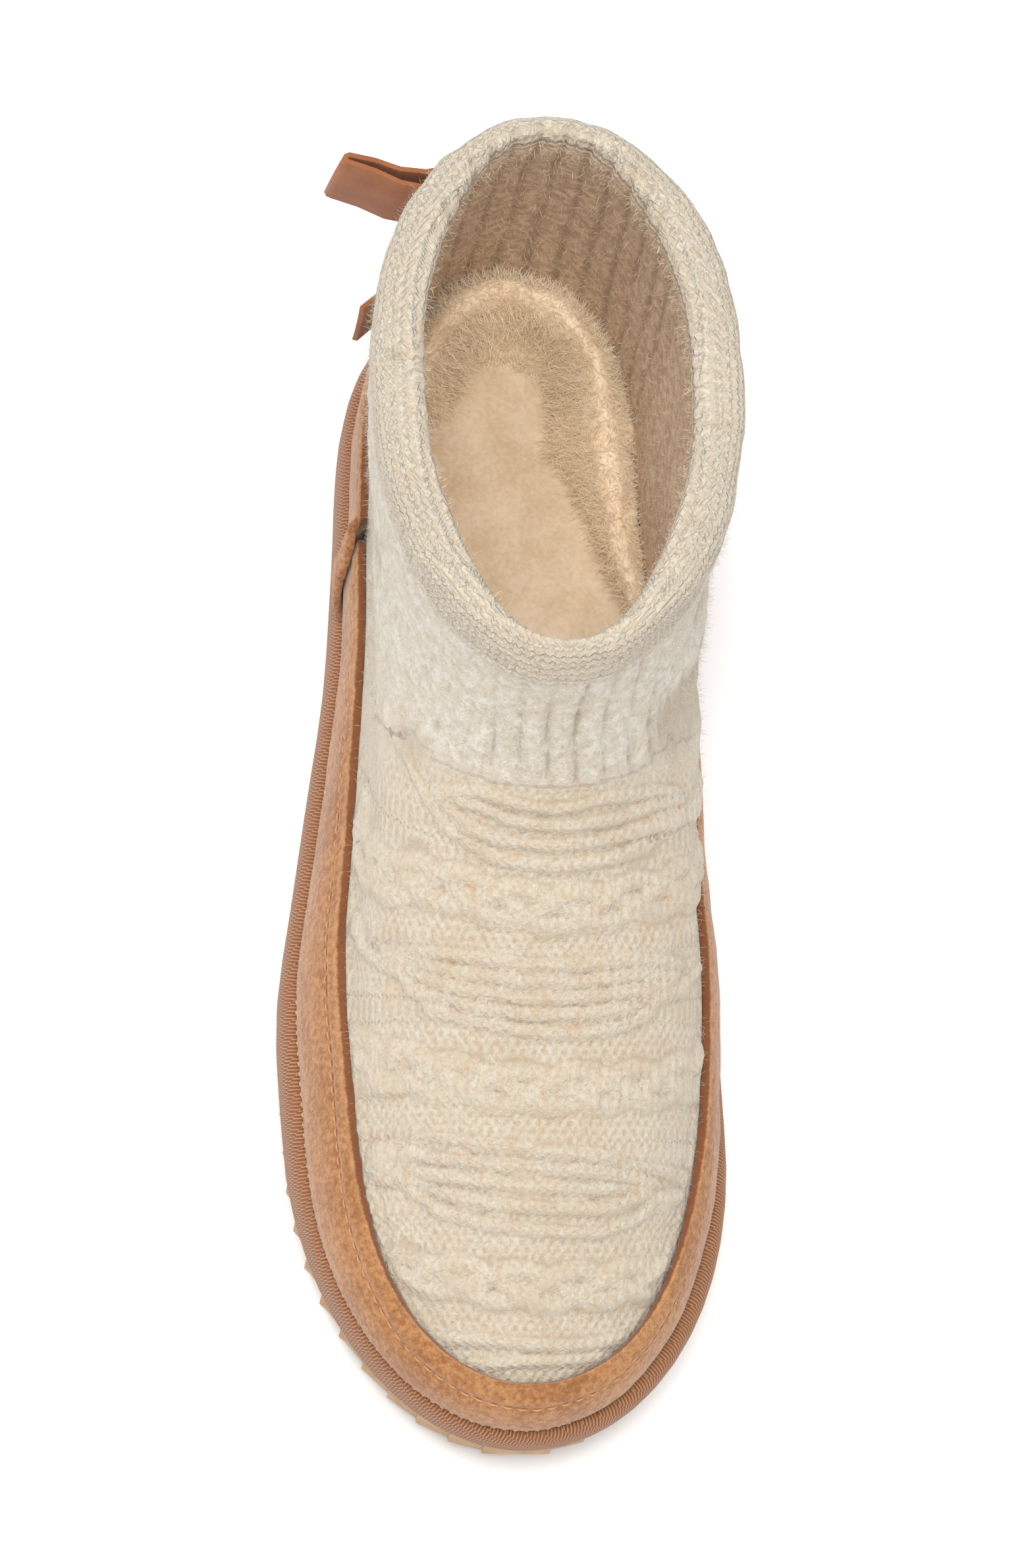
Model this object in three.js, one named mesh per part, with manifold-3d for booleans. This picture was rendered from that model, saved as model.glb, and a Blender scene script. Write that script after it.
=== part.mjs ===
// A knit bootie for the right foot, standing empty on its sole.
// A cable-knit upper with a ribbed shaft and a folded hem is closed below by a platform:
// a wrapped midsole on a toothed outsole. A suede rand runs round the toe and the sides,
// a suede counter laps over its ends at the heel, and a soft insole lies inside.
// Lengths are in millimetres. The toe points to -Y, the heel to +Y, the wearer's right
// (the outer side of this foot) to -X, and +Z is up.
import * as THREE from "three";
import { mergeVertices } from "three/addons/utils/BufferGeometryUtils.js";
import Module from "manifold-3d";

// Sole, seen from above
const SOLE_LENGTH = 280;
const BALL_WIDTH = 100;
const HEEL_WIDTH = 75;
const TOE_ROUND = 75; // length of the toe's rounded stretch
const HEEL_ROUND = 40; // length of the heel's rounded stretch

// Sole, seen from the side
const OUTSOLE_THICKNESS = 9;
const MIDSOLE_AT_BALL = 22;
const MIDSOLE_AT_HEEL = 27;
const TOE_SPRING = 9; // height of the tread under the tip of the toe
const TOE_TOP_LIFT = 6; // rise of the platform's top from the ball to the tip of the toe
const HEEL_BEVEL = 2.5; // height of the tread under the back edge of the heel
const ARCH_LIFT = 1.8; // height of the tread under the arch
const TOE_RAKE = 3.5; // how far the platform's front wall slopes in on its way down
// Where these bends reach to, as shares of the sole's length from the toe
const SPRING_END = 0.26;
const TOP_LIFT_END = 0.34;
const RAKE_END = 0.24;
const ARCH_SPAN = { from: 0.46, full: 0.54, fading: 0.58, to: 0.66 };
const BEVEL_FROM = 0.94;

// Outsole teeth and tread
const TOOTH_PITCH = 9.4;
const TOOTH_DEPTH = 2.6;
const TOOTH_AT_TOE = 0.35; // share of that depth left round the toe
const TREAD_INSET = 3.9; // from the midsole's edge to the valleys between the teeth
const TREAD_INSET_AT_TOE = 2.4;
const GROOVE_WIDTH = 3.4;
const GROOVE_DEPTH = 3;
const GROOVE_ZIGZAG = 3.2;
const GROOVES = [0.12, 0.185, 0.25, 0.315, 0.38, 0.72, 0.785, 0.905]; // shares from the toe

// Upper
const UPPER_HEIGHT = 112; // from the platform's top at the heel to the collar
const SHAFT_WIDTH = 81;
const SHAFT_LENGTH = 131; // from the shaft's front to its back, at the collar
const KNIT_WALL = 3.2;
const HEM_AT_ENDS = 6.6; // the knit is folded at the collar: its thickness at the front and back
const HEM_AT_SIDES = 12.2;
const HEM_HEIGHT = 15;
const LEDGE = 4.4; // platform showing outside the rand at the ball, outer side

// Suede, insole and the clearance between pieces
const SUEDE = 2.2;
const SUEDE_PUFF = 1.5; // how far the rand swells at the middle of its height
const RAND_AT_TOE = 17; // height of the rand at the tip of the toe
const RAND_AT_SIDE = 23; // height of the rand along the sides
const COUNTER_AT_BACK = 27; // height of the counter on the heel's centre line
const COUNTER_LAP = 9; // overlap of the counter on each end of the rand
const COUNTER_SLANT = 0.05; // lean of the counter's front edges towards the heel, in radians of turn
const COUNTER_FRONT = 0.3; // the counter's front edge, as a share of the sole from the heel
const INSOLE_THICKNESS = 6;
const INSOLE_MARGIN = 1.1; // between the insole's edge and the knit wall
const GAP = 0.3;

// Pull loop and heel patch
const LOOP_HEIGHT = 22; // width of the strap, which stands upright
const LOOP_REACH = 41.5; // from the back seam to the fold
const LOOP_START = 6; // how far the strap's ends lie on the other side of the back seam
const LOOP_LIFT = 7; // rise of the strap from the seam to its fold
const LOOP_BOW = 4.5; // how far the strap bows towards the knit on its way to the fold
const LOOP_LEAN = 2.5; // how much farther out the fold's lower corner is than its upper one
const LOOP_GAP = 2.6; // between its two layers, at the widest
const LOOP_AT = 0.55; // height of the loop's centre, as a share of UPPER_HEIGHT
const STRAP = 1.3; // thickness of the strap leather
const PATCH_HEIGHT = 21;
const PATCH_CLEAR = 1.1; // from the counter's top edge up to the patch
const PATCH_HALF = 41; // from the back seam to each end, round the heel
const PATCH_CURL = 7; // how far its outer end stands off the knit

const AROUND = 72; // points in a ring round the boot
const SOLE_AROUND = 80;
const COLLAR_RINGS = 17; // rings up the outside of the upper
const LINING_RINGS = 11; // rings down the inside of the upper

// Half widths of the sole on the wearer's right (outer) and left (inner) side, as shares of the
// ball's width in the forefoot and of the heel's width behind it, before the ends are rounded.
// outerLedge, innerLedge: platform showing outside the upper, in shares of LEDGE.
const SOLE_OUTLINE = [
  { along: 0.0, outer: 0.486, inner: 0.505, outerLedge: 0.85, innerLedge: 1.0 },
  { along: 0.12, outer: 0.496, inner: 0.492, outerLedge: 0.82, innerLedge: 1.34 },
  { along: 0.25, outer: 0.508, inner: 0.477, outerLedge: 1.0, innerLedge: 1.08 },
  { along: 0.36, outer: 0.522, inner: 0.468, outerLedge: 1.0, innerLedge: 0.62 },
  { along: 0.47, outer: 0.503, inner: 0.463, outerLedge: 1.0, innerLedge: 0.55 },
  { along: 0.57, outer: 0.499, inner: 0.495, outerLedge: 1.0, innerLedge: 0.55 },
  { along: 0.65, outer: 0.497, inner: 0.514, outerLedge: 0.88, innerLedge: 0.6 },
  { along: 0.74, outer: 0.506, inner: 0.52, outerLedge: 0.65, innerLedge: 0.6 },
  { along: 0.82, outer: 0.498, inner: 0.51, outerLedge: 0.58, innerLedge: 0.6 },
  { along: 0.9, outer: 0.478, inner: 0.495, outerLedge: 0.6, innerLedge: 0.6 },
  { along: 1.0, outer: 0.47, inner: 0.48, outerLedge: 0.6, innerLedge: 0.6 },
];

// Rings of the upper's outer face, from the edge on the platform to the collar. Each ring is level
// from side to side and runs straight from its front point to its back point, seen from the side.
// front, back: distance of those points from the sole's tip and back edge, in shares of its length.
// frontUp, backUp: their height above the platform, in shares of the upper's height.
const UPPER_PROFILE = [
  { front: 0.024, frontUp: 0.0, back: 0.0202, backUp: 0.0 },
  { front: 0.021, frontUp: 0.075, back: 0.0178, backUp: 0.09 },
  { front: 0.034, frontUp: 0.152, back: 0.0178, backUp: 0.196 },
  { front: 0.11, frontUp: 0.275, back: 0.02, backUp: 0.286 },
  { front: 0.168, frontUp: 0.344, back: 0.0235, backUp: 0.375 },
  { front: 0.236, frontUp: 0.405, back: 0.028, backUp: 0.464 },
  { front: 0.308, frontUp: 0.473, back: 0.0325, backUp: 0.554 },
  { front: 0.373, frontUp: 0.551, back: 0.037, backUp: 0.638 },
  { front: 0.424, frontUp: 0.646, back: 0.043, backUp: 0.719 },
  { front: 0.456, frontUp: 0.759, back: 0.0475, backUp: 0.804 },
  { front: 0.4726, frontUp: 0.882, back: 0.0525, backUp: 0.888 },
  { front: 0.479, frontUp: 0.988, back: 0.056, backUp: 0.96 },
  { front: 0.4816, frontUp: 1.033, back: 0.0565, backUp: 1.0 },
];
// The same rings seen from above, row by row.
// foot: 1 where the ring follows the sole's outline, 0 where it is an oval of the shaft.
// lean: how far the foot's wall has leaned in.
// outer, inner: half widths of the shaft's oval on each side, in shares of the shaft's width.
// frontRound, backRound: length of the rounded ends, in shares of the shaft's length.
const UPPER_SECTION = [
  { foot: 1, lean: 0.0, outer: 0.4, inner: 0.41, frontRound: 0.52, backRound: 0.3 },
  { foot: 1, lean: 0.12, outer: 0.4, inner: 0.415, frontRound: 0.52, backRound: 0.31 },
  { foot: 1, lean: 1, outer: 0.405, inner: 0.43, frontRound: 0.53, backRound: 0.33 },
  { foot: 0.92, lean: 1.4, outer: 0.412, inner: 0.45, frontRound: 0.6, backRound: 0.36 },
  { foot: 0.76, lean: 1.55, outer: 0.42, inner: 0.465, frontRound: 0.66, backRound: 0.39 },
  { foot: 0.56, lean: 1.55, outer: 0.43, inner: 0.477, frontRound: 0.66, backRound: 0.42 },
  { foot: 0.36, lean: 1.4, outer: 0.44, inner: 0.485, frontRound: 0.64, backRound: 0.44 },
  { foot: 0.2, lean: 1.2, outer: 0.452, inner: 0.478, frontRound: 0.6, backRound: 0.46 },
  { foot: 0.09, lean: 1, outer: 0.463, inner: 0.47, frontRound: 0.54, backRound: 0.475 },
  { foot: 0.03, lean: 1, outer: 0.475, inner: 0.476, frontRound: 0.52, backRound: 0.47 },
  { foot: 0, lean: 1, outer: 0.482, inner: 0.488, frontRound: 0.5, backRound: 0.445 },
  { foot: 0, lean: 1, outer: 0.486, inner: 0.499, frontRound: 0.49, backRound: 0.43 },
  { foot: 0, lean: 1, outer: 0.486, inner: 0.5, frontRound: 0.48, backRound: 0.43 },
];
const OUTER_LEAN = 6.4; // how far the forefoot's outer wall leans in up to the rand's top edge
const INNER_LEAN = 2.6; // the same for its inner wall
const HEEL_LEAN = 0.5; // the same round the heel
const TOE_SWING = 1.5; // shift of the upper's tip towards the outer side

const lerp = THREE.MathUtils.lerp;
const clamp = THREE.MathUtils.clamp;
const smooth = (x, from, to) => THREE.MathUtils.smoothstep(x, from, to);

// A column of a table, read at any place along another column, as a smooth curve through its rows.
function readTable(rows, by, column, at) {
  const last = rows.length - 1;
  let i = 0;
  while (i < last - 1 && at > rows[i + 1][by]) i++;
  const slope = (k) => {
    const a = rows[Math.max(k - 1, 0)];
    const b = rows[Math.min(k + 1, last)];
    return (b[column] - a[column]) / (b[by] - a[by]);
  };
  const step = rows[i + 1][by] - rows[i][by];
  const t = clamp((at - rows[i][by]) / step, 0, 1);
  const t2 = t * t;
  const t3 = t2 * t;
  return (
    (2 * t3 - 3 * t2 + 1) * rows[i][column] +
    (t3 - 2 * t2 + t) * step * slope(i) +
    (3 * t2 - 2 * t3) * rows[i + 1][column] +
    (t3 - t2) * step * slope(i + 1)
  );
}

// The share of a half width that is left at a distance from a rounded end.
function roundedEnd(distance, length, power) {
  const t = clamp(distance / length, 0, 1);
  return Math.pow(1 - Math.pow(1 - t, power), 1 / power);
}

const TIP = -SOLE_LENGTH / 2;
const alongAt = (y) => (y - TIP) / SOLE_LENGTH;
const heelward = (along) => smooth(along, 0.36, 0.8);

// A column of the sole's table on the side of the given sign: -1 outer, 1 inner.
function soleColumn(along, side, ending) {
  const column = (side < 0 ? "outer" : "inner") + ending;
  return readTable(SOLE_OUTLINE, "along", column, clamp(along, 0, 1));
}

// Half width of the sole on one side, before its ends are rounded.
function soleHalf(along, side) {
  return soleColumn(along, side, "") * lerp(BALL_WIDTH, HEEL_WIDTH, heelward(along));
}

// A point of the sole's outline. Turn 0 is the tip of the toe, a quarter turn the outer side.
function solePoint(turn) {
  const y = TIP + (SOLE_LENGTH * (1 - Math.cos(turn))) / 2;
  const side = Math.sin(turn) > 0 ? -1 : 1;
  const half = soleHalf(alongAt(y), side);
  const toe = roundedEnd(y - TIP, TOE_ROUND, 2);
  const heel = roundedEnd(TIP + SOLE_LENGTH - y, HEEL_ROUND, 2.2);
  return new THREE.Vector2(side * half * toe * heel, y);
}

// The outline moved out (or in, when negative) along its own normal.
function soleOffset(turn, out) {
  const small = 0.01;
  const ahead = solePoint(turn + small);
  const behind = solePoint(turn - small);
  const normal = new THREE.Vector2(behind.y - ahead.y, ahead.x - behind.x).normalize();
  const p = solePoint(turn);
  return new THREE.Vector2(p.x + normal.x * out, p.y + normal.y * out);
}

// Heights of the tread and of the platform's top, at a share of the length from the toe.
function treadHeight(along) {
  const toe = TOE_SPRING * Math.pow(clamp(1 - along / SPRING_END, 0, 1.1), 2);
  const rising = smooth(along, ARCH_SPAN.from, ARCH_SPAN.full);
  const arch = ARCH_LIFT * rising * (1 - smooth(along, ARCH_SPAN.fading, ARCH_SPAN.to));
  const heel = HEEL_BEVEL * Math.pow(clamp((along - BEVEL_FROM) / (1 - BEVEL_FROM), 0, 1.1), 2);
  return toe + arch + heel;
}

function platformHeight(along) {
  const midsole = lerp(MIDSOLE_AT_BALL, MIDSOLE_AT_HEEL, smooth(along, 0.3, 0.85));
  const lift = TOE_TOP_LIFT * Math.pow(clamp(1 - along / TOP_LIFT_END, 0, 1.1), 2);
  return OUTSOLE_THICKNESS + midsole + lift;
}

// Solids made from rings of points. Rings run the same way round and each holds as many points.
function solidFromRings(rings, { closed = false, caps = true } = {}) {
  const n = rings[0].length;
  const positions = rings.flat().flatMap((p) => [p.x, p.y, p.z]);
  const index = [];
  const bands = closed ? rings.length : rings.length - 1;
  for (let r = 0; r < bands; r++) {
    const here = r * n;
    const next = ((r + 1) % rings.length) * n;
    for (let i = 0; i < n; i++) {
      const j = (i + 1) % n;
      index.push(here + i, next + i, next + j, here + i, next + j, here + j);
    }
  }
  // A cap joins each point to the one across the boot, so it follows the sole's curve.
  const cap = (start, flip) => {
    for (let i = 0; i < n / 2; i++) {
      const a = start + i;
      const b = start + i + 1;
      const c = start + ((n - i) % n);
      const d = start + ((n - i - 1) % n);
      if (a !== c) index.push(...(flip ? [a, c, b] : [a, b, c]));
      if (b !== d) index.push(...(flip ? [b, c, d] : [b, d, c]));
    }
  };
  if (!closed && caps) {
    cap(0, false);
    cap((rings.length - 1) * n, true);
  }
  const geometry = new THREE.BufferGeometry();
  geometry.setAttribute("position", new THREE.Float32BufferAttribute(positions, 3));
  geometry.setIndex(index);
  return geometry;
}

// A curved sheet with thickness: a grid of outer points and a grid of inner points, joined at the rim.
function solidFromSheet(columns, rows, outer, inner) {
  const loop = (c) => {
    const up = [];
    for (let r = 0; r <= rows; r++) up.push(outer(c / columns, r / rows));
    for (let r = rows; r >= 0; r--) up.push(inner(c / columns, r / rows));
    return up;
  };
  const loops = [];
  for (let c = 0; c <= columns; c++) loops.push(loop(c));
  const n = loops[0].length;
  const positions = loops.flat().flatMap((p) => [p.x, p.y, p.z]);
  const index = [];
  for (let c = 0; c < columns; c++) {
    for (let i = 0; i < n; i++) {
      const j = (i + 1) % n;
      const [a, b] = [c * n + i, c * n + j];
      index.push(a, b, a + n, b, b + n, a + n);
    }
  }
  for (let r = 0; r < rows; r++) {
    const [o0, o1, i1, i0] = [r, r + 1, n - 2 - r, n - 1 - r];
    index.push(o0, i0, o1, o1, i0, i1);
    const end = columns * n;
    index.push(end + o1, end + i0, end + o0, end + i1, end + i0, end + o1);
  }
  const geometry = new THREE.BufferGeometry();
  geometry.setAttribute("position", new THREE.Float32BufferAttribute(positions, 3));
  geometry.setIndex(index);
  return geometry;
}

function turned(count, make) {
  return Array.from({ length: count }, (_, i) => make((i / count) * 2 * Math.PI, i));
}

const wasm = await Module();
wasm.setup();

function toSolid(geometry) {
  const merged = mergeVertices(geometry, 1e-4);
  return new wasm.Manifold(
    new wasm.Mesh({
      numProp: 3,
      vertProperties: new Float32Array(merged.attributes.position.array),
      triVerts: new Uint32Array(merged.index.array),
    }),
  );
}

function toGeometry(solid) {
  const mesh = solid.getMesh();
  const geometry = new THREE.BufferGeometry();
  geometry.setAttribute("position", new THREE.BufferAttribute(mesh.vertProperties, 3));
  geometry.setIndex(new THREE.BufferAttribute(mesh.triVerts, 1));
  return geometry;
}

// The midsole: a platform with a swelling side wall, raked at the toe and rounded at its top edge.
const MIDSOLE_SIDE = [
  { up: 0.0, out: -2.2 },
  { up: 0.12, out: -0.9 },
  { up: 0.4, out: 0 },
  { up: 0.78, out: -0.2 },
  { up: 0.93, out: -1.1 },
  { up: 1.0, out: -2.8 },
];
const rakeAt = (along) => TOE_RAKE * Math.pow(clamp(1 - along / RAKE_END, 0, 1), 1.2);

function midsoleGeometry() {
  const rings = MIDSOLE_SIDE.map(({ up, out }) =>
    turned(SOLE_AROUND, (turn) => {
      const along = alongAt(solePoint(turn).y);
      const p = soleOffset(turn, out - rakeAt(along) * (1 - up));
      const at = alongAt(p.y);
      const low = treadHeight(at) + OUTSOLE_THICKNESS;
      return new THREE.Vector3(p.x, p.y, lerp(low, platformHeight(at), up));
    }),
  );
  return solidFromRings(rings);
}

// The outsole's edge in even steps of length round the sole, so that every tooth is as long.
function toothedEdge() {
  const fine = 1440;
  const turns = [0];
  const lengths = [0];
  for (let i = 1; i <= fine; i++) {
    const turn = (i / fine) * 2 * Math.PI;
    const step = solePoint(turn).distanceTo(solePoint(turns[i - 1]));
    turns.push(turn);
    lengths.push(lengths[i - 1] + step);
  }
  const turnAtLength = (length) => {
    const i = lengths.findIndex((l) => l > length);
    if (i <= 0) return 0;
    return lerp(turns[i - 1], turns[i], (length - lengths[i - 1]) / (lengths[i] - lengths[i - 1]));
  };
  const side = lengths[fine / 2];
  const teeth = Math.round(side / TOOTH_PITCH);
  const pitch = side / teeth;
  // Along one tooth, from its toe end to its heel end: the edge swells out, then drops back.
  const profile = [
    { at: 0, out: 0 },
    { at: 0.4, out: 0.28 },
    { at: 0.75, out: 0.66 },
    { at: 0.93, out: 1 },
  ];
  const outerSide = [];
  for (let k = 0; k < teeth; k++) {
    for (const { at, out } of profile) {
      const turn = turnAtLength((k + at) * pitch);
      const full = lerp(TOOTH_AT_TOE, 1, smooth(alongAt(solePoint(turn).y), 0.05, 0.2));
      outerSide.push({ turn, out: out * full * TOOTH_DEPTH });
    }
  }
  const middle = { turn: Math.PI, out: 0 };
  const innerSide = outerSide
    .slice(1)
    .reverse()
    .map(({ turn, out }) => ({ turn: 2 * Math.PI - turn, out }));
  return [...outerSide, middle, ...innerSide];
}

function outsoleGeometry() {
  const edge = toothedEdge();
  const ring = (height, trim, toothShare) =>
    edge.map(({ turn, out }) => {
      const along = alongAt(solePoint(turn).y);
      const inset = lerp(TREAD_INSET_AT_TOE, TREAD_INSET, smooth(along, 0.02, 0.22));
      const p = soleOffset(turn, out * toothShare - inset - trim - rakeAt(along));
      return new THREE.Vector3(p.x, p.y, treadHeight(alongAt(p.y)) + height);
    });
  const top = OUTSOLE_THICKNESS - GAP;
  let solid = toSolid(solidFromRings([ring(0, 1.4, 0.5), ring(2.4, 0, 1), ring(top, 0, 1)]));
  for (const along of GROOVES) solid = solid.subtract(grooveSolid(along));
  return toGeometry(solid);
}

// A zigzag bar across the sole, GROOVE_DEPTH deep where it meets the tread.
function grooveSolid(along) {
  const y = TIP + along * SOLE_LENGTH;
  const reach = BALL_WIDTH * 0.6;
  const folds = 10;
  const edgeAt = (i, side) => {
    const zigzag = (i % 2 ? 1 : -1) * GROOVE_ZIGZAG * 0.5;
    return [lerp(-reach, reach, i / folds), y + zigzag + (side * GROOVE_WIDTH) / 2];
  };
  const outline = [];
  for (let i = 0; i <= folds; i++) outline.push(edgeAt(i, -1));
  for (let i = folds; i >= 0; i--) outline.push(edgeAt(i, 1));
  const shape = new THREE.Shape(outline.map(([a, b]) => new THREE.Vector2(a, b)));
  const below = 5;
  const depth = below + GROOVE_DEPTH;
  const geometry = new THREE.ExtrudeGeometry(shape, { depth, bevelEnabled: false });
  geometry.deleteAttribute("normal");
  geometry.deleteAttribute("uv");
  geometry.translate(0, 0, treadHeight(along) - below);
  return toSolid(geometry);
}

// The upper's outer face. Level 0 is the edge on the platform and 1 the collar.
const UPPER_RINGS = UPPER_PROFILE.map((row, i) => ({
  level: i / (UPPER_PROFILE.length - 1),
  ...row,
  ...UPPER_SECTION[i],
}));
function ringAt(level) {
  const ring = {};
  for (const column of Object.keys(UPPER_RINGS[0])) {
    ring[column] = readTable(UPPER_RINGS, "level", column, level);
  }
  return ring;
}
const ringCache = new Map();
function cachedRing(level) {
  if (!ringCache.has(level)) ringCache.set(level, ringAt(level));
  return ringCache.get(level);
}

// Room that the suede takes between the ledge and the knit, at the platform.
const WALL_ROOM = SUEDE + GAP;

function upperPoint(level, turn) {
  const ring = cachedRing(level);
  const front = TIP + ring.front * SOLE_LENGTH;
  const back = TIP + (1 - ring.back) * SOLE_LENGTH;
  const share = (1 - Math.cos(turn)) / 2;
  const y = lerp(front, back, share);
  const side = Math.sin(turn) >= 0 ? -1 : 1;
  const along = alongAt(y);
  const ledge = soleColumn(along, side, "Ledge") * LEDGE;
  const lean = lerp(side < 0 ? OUTER_LEAN : INNER_LEAN, HEEL_LEAN, smooth(along, 0.32, 0.72));
  const footHalf = soleHalf(along, side) - ledge - WALL_ROOM - ring.lean * lean;
  const swing = TOE_SWING * ring.foot * (1 - smooth(along, 0, 0.3));
  const shaftHalf = (side < 0 ? ring.outer : ring.inner) * SHAFT_WIDTH;
  const half = lerp(shaftHalf, footHalf, ring.foot);
  const frontCap = roundedEnd(y - front, ring.frontRound * SHAFT_LENGTH, 2);
  const backCap = roundedEnd(back - y, ring.backRound * SHAFT_LENGTH, lerp(2, 2.2, ring.foot));
  const frontZ = platformHeight(alongAt(front)) + ring.frontUp * UPPER_HEIGHT;
  const backZ = platformHeight(alongAt(back)) + ring.backUp * UPPER_HEIGHT;
  const onPlatform = platformHeight(along);
  const straight = lerp(frontZ, backZ, share);
  // Near the platform a ring follows the platform's own curve.
  const rise = lerp(ring.frontUp, ring.backUp, share) * UPPER_HEIGHT;
  const z = lerp(straight, onPlatform + rise, clamp(1.6 - level * 8, 0, 1));
  return new THREE.Vector3(side * half * frontCap * backCap - swing, y, z + GAP);
}

// The same face moved out, or in when negative, along its normal.
function upperOffset(level, turn, out) {
  const small = 0.004;
  const low = clamp(level - small, 0, 1);
  const high = clamp(level + small, 0, 1);
  const around = upperPoint(level, turn + 0.02).sub(upperPoint(level, turn - 0.02));
  const upward = upperPoint(high, turn).sub(upperPoint(low, turn));
  const normal = new THREE.Vector3().crossVectors(upward, around).normalize();
  const p = upperPoint(level, turn);
  return p.addScaledVector(normal, out);
}

// Thickness of the hem, round the collar, and of the knit, which thins out below the hem.
function hemWall(turn) {
  return lerp(HEM_AT_ENDS, HEM_AT_SIDES, smooth(Math.abs(Math.sin(turn)), 0.15, 0.9));
}
function knitWall(level, turn) {
  const below = (1 - level) * UPPER_HEIGHT;
  return lerp(hemWall(turn), KNIT_WALL, smooth(below, HEM_HEIGHT * 0.6, HEM_HEIGHT * 2));
}

// Rings stand closer together beside the rand, where the wall curves most.
const closerBelow = (share) => Math.pow(share, 1.4);

function knitUpperGeometry() {
  const rings = [];
  for (let r = 0; r <= COLLAR_RINGS; r++) {
    const level = closerBelow(r / COLLAR_RINGS);
    rings.push(turned(AROUND, (turn) => upperOffset(level, turn, 0)));
  }
  // The hem's rounded top, from the outer face over to the inner one.
  const crown = [
    { share: 0.2, up: 1.6 },
    { share: 0.5, up: 2.4 },
    { share: 0.8, up: 1.6 },
  ];
  for (const { share, up } of crown) {
    rings.push(
      turned(AROUND, (turn) => {
        const p = upperOffset(1, turn, -hemWall(turn) * share);
        return p.setZ(p.z + up);
      }),
    );
  }
  for (let r = LINING_RINGS; r >= 0; r--) {
    const level = closerBelow(r / LINING_RINGS);
    rings.push(
      turned(AROUND, (turn) => {
        const p = upperOffset(level, turn, -knitWall(level, turn));
        const floor = platformHeight(alongAt(p.y)) + GAP;
        return level === 0 ? p.setZ(floor) : p.setZ(Math.max(p.z, floor + 1));
      }),
    );
  }
  return solidFromRings(rings, { closed: true });
}

// Level of the upper at a height above the platform, on a given turn, found by halving.
function levelAtRise(turn, rise) {
  let low = 0;
  let high = 0.6;
  const target = rise + GAP;
  for (let i = 0; i < 24; i++) {
    const mid = (low + high) / 2;
    const p = upperPoint(mid, turn);
    if (p.z - platformHeight(alongAt(p.y)) < target) low = mid;
    else high = mid;
  }
  return (low + high) / 2;
}

// Height of the rand's top edge above the platform, round the boot.
function randHeight(turn) {
  const along = alongAt(solePoint(turn).y);
  return lerp(RAND_AT_TOE, RAND_AT_SIDE, smooth(along, 0.02, 0.3));
}
function counterHeight(turn) {
  const along = alongAt(solePoint(turn).y);
  return lerp(RAND_AT_SIDE + SUEDE, COUNTER_AT_BACK, smooth(along, 1 - COUNTER_FRONT, 0.99));
}

// How far a suede band stands out over its own height: a low swell with a thin top edge.
function swell(share) {
  return SUEDE_PUFF * Math.sin(Math.PI * Math.pow(share, 0.8));
}

// Turn at which the outline is a given share of the length ahead of the heel, on the outer side.
function turnFromHeel(share) {
  return Math.acos(1 - 2 * (1 - share));
}

function bandPoint(turn, share, height, out) {
  const p = upperOffset(levelAtRise(turn, share * height), turn, out);
  const floor = platformHeight(alongAt(p.y)) + GAP;
  return share === 0 ? p.setZ(floor) : p.setZ(Math.max(p.z, floor));
}

// The rand runs from one side's seam, round the toe, to the other side's seam.
function randGeometry() {
  const lap = COUNTER_LAP / SOLE_LENGTH;
  const seam = turnFromHeel(COUNTER_FRONT - lap);
  const turnAt = (u) => lerp(-seam, seam, u);
  const up = 5;
  const outer = (u, v) => {
    const turn = turnAt(u);
    return bandPoint(turn, v, randHeight(turn), GAP + SUEDE + swell(v));
  };
  const inner = (u, v) => {
    const turn = turnAt(u);
    return bandPoint(turn, v, randHeight(turn), 1.5 * GAP);
  };
  return solidFromSheet(60, up, outer, inner);
}

// The counter goes round the heel and laps over the ends of the rand, so its ends step outwards.
function counterGeometry() {
  const toShare = (length) => turnFromHeel(COUNTER_FRONT - length / SOLE_LENGTH);
  const edge = toShare(0);
  const over = toShare(COUNTER_LAP + 1); // from here to the edge it lies on the rand
  const down = toShare(COUNTER_LAP + 4); // from here to the back it lies on the knit
  const middle = 28;
  const half = [edge, lerp(edge, over, 0.5), over, lerp(over, down, 0.5)];
  const mirrored = half.map((turn) => 2 * Math.PI - turn).reverse();
  const turns = [...half];
  for (let i = 0; i <= middle; i++) turns.push(lerp(down, 2 * Math.PI - down, i / middle));
  turns.push(...mirrored);
  const last = turns.length - 1;
  const at = (u, v, extra) => {
    const i = Math.round(u * last);
    const slant = i < 2 ? COUNTER_SLANT * v * (1 - i / 2) : 0;
    const mirrorSlant = i > last - 2 ? -COUNTER_SLANT * v * (1 - (last - i) / 2) : 0;
    const turn = turns[i] + slant + mirrorSlant;
    const height = counterHeight(turn);
    const onRand = clamp((Math.abs(turn - Math.PI) - (Math.PI - down)) / (down - over), 0, 1);
    const randShare = clamp((v * height) / randHeight(turn), 0, 1);
    const out = 1.5 * GAP + onRand * (SUEDE + swell(randShare) + 0.5 * GAP);
    return bandPoint(turn, v, height, out + extra * SUEDE);
  };
  return solidFromSheet(
    last,
    6,
    (u, v) => at(u, v, 1),
    (u, v) => at(u, v, 0),
  );
}

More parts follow.
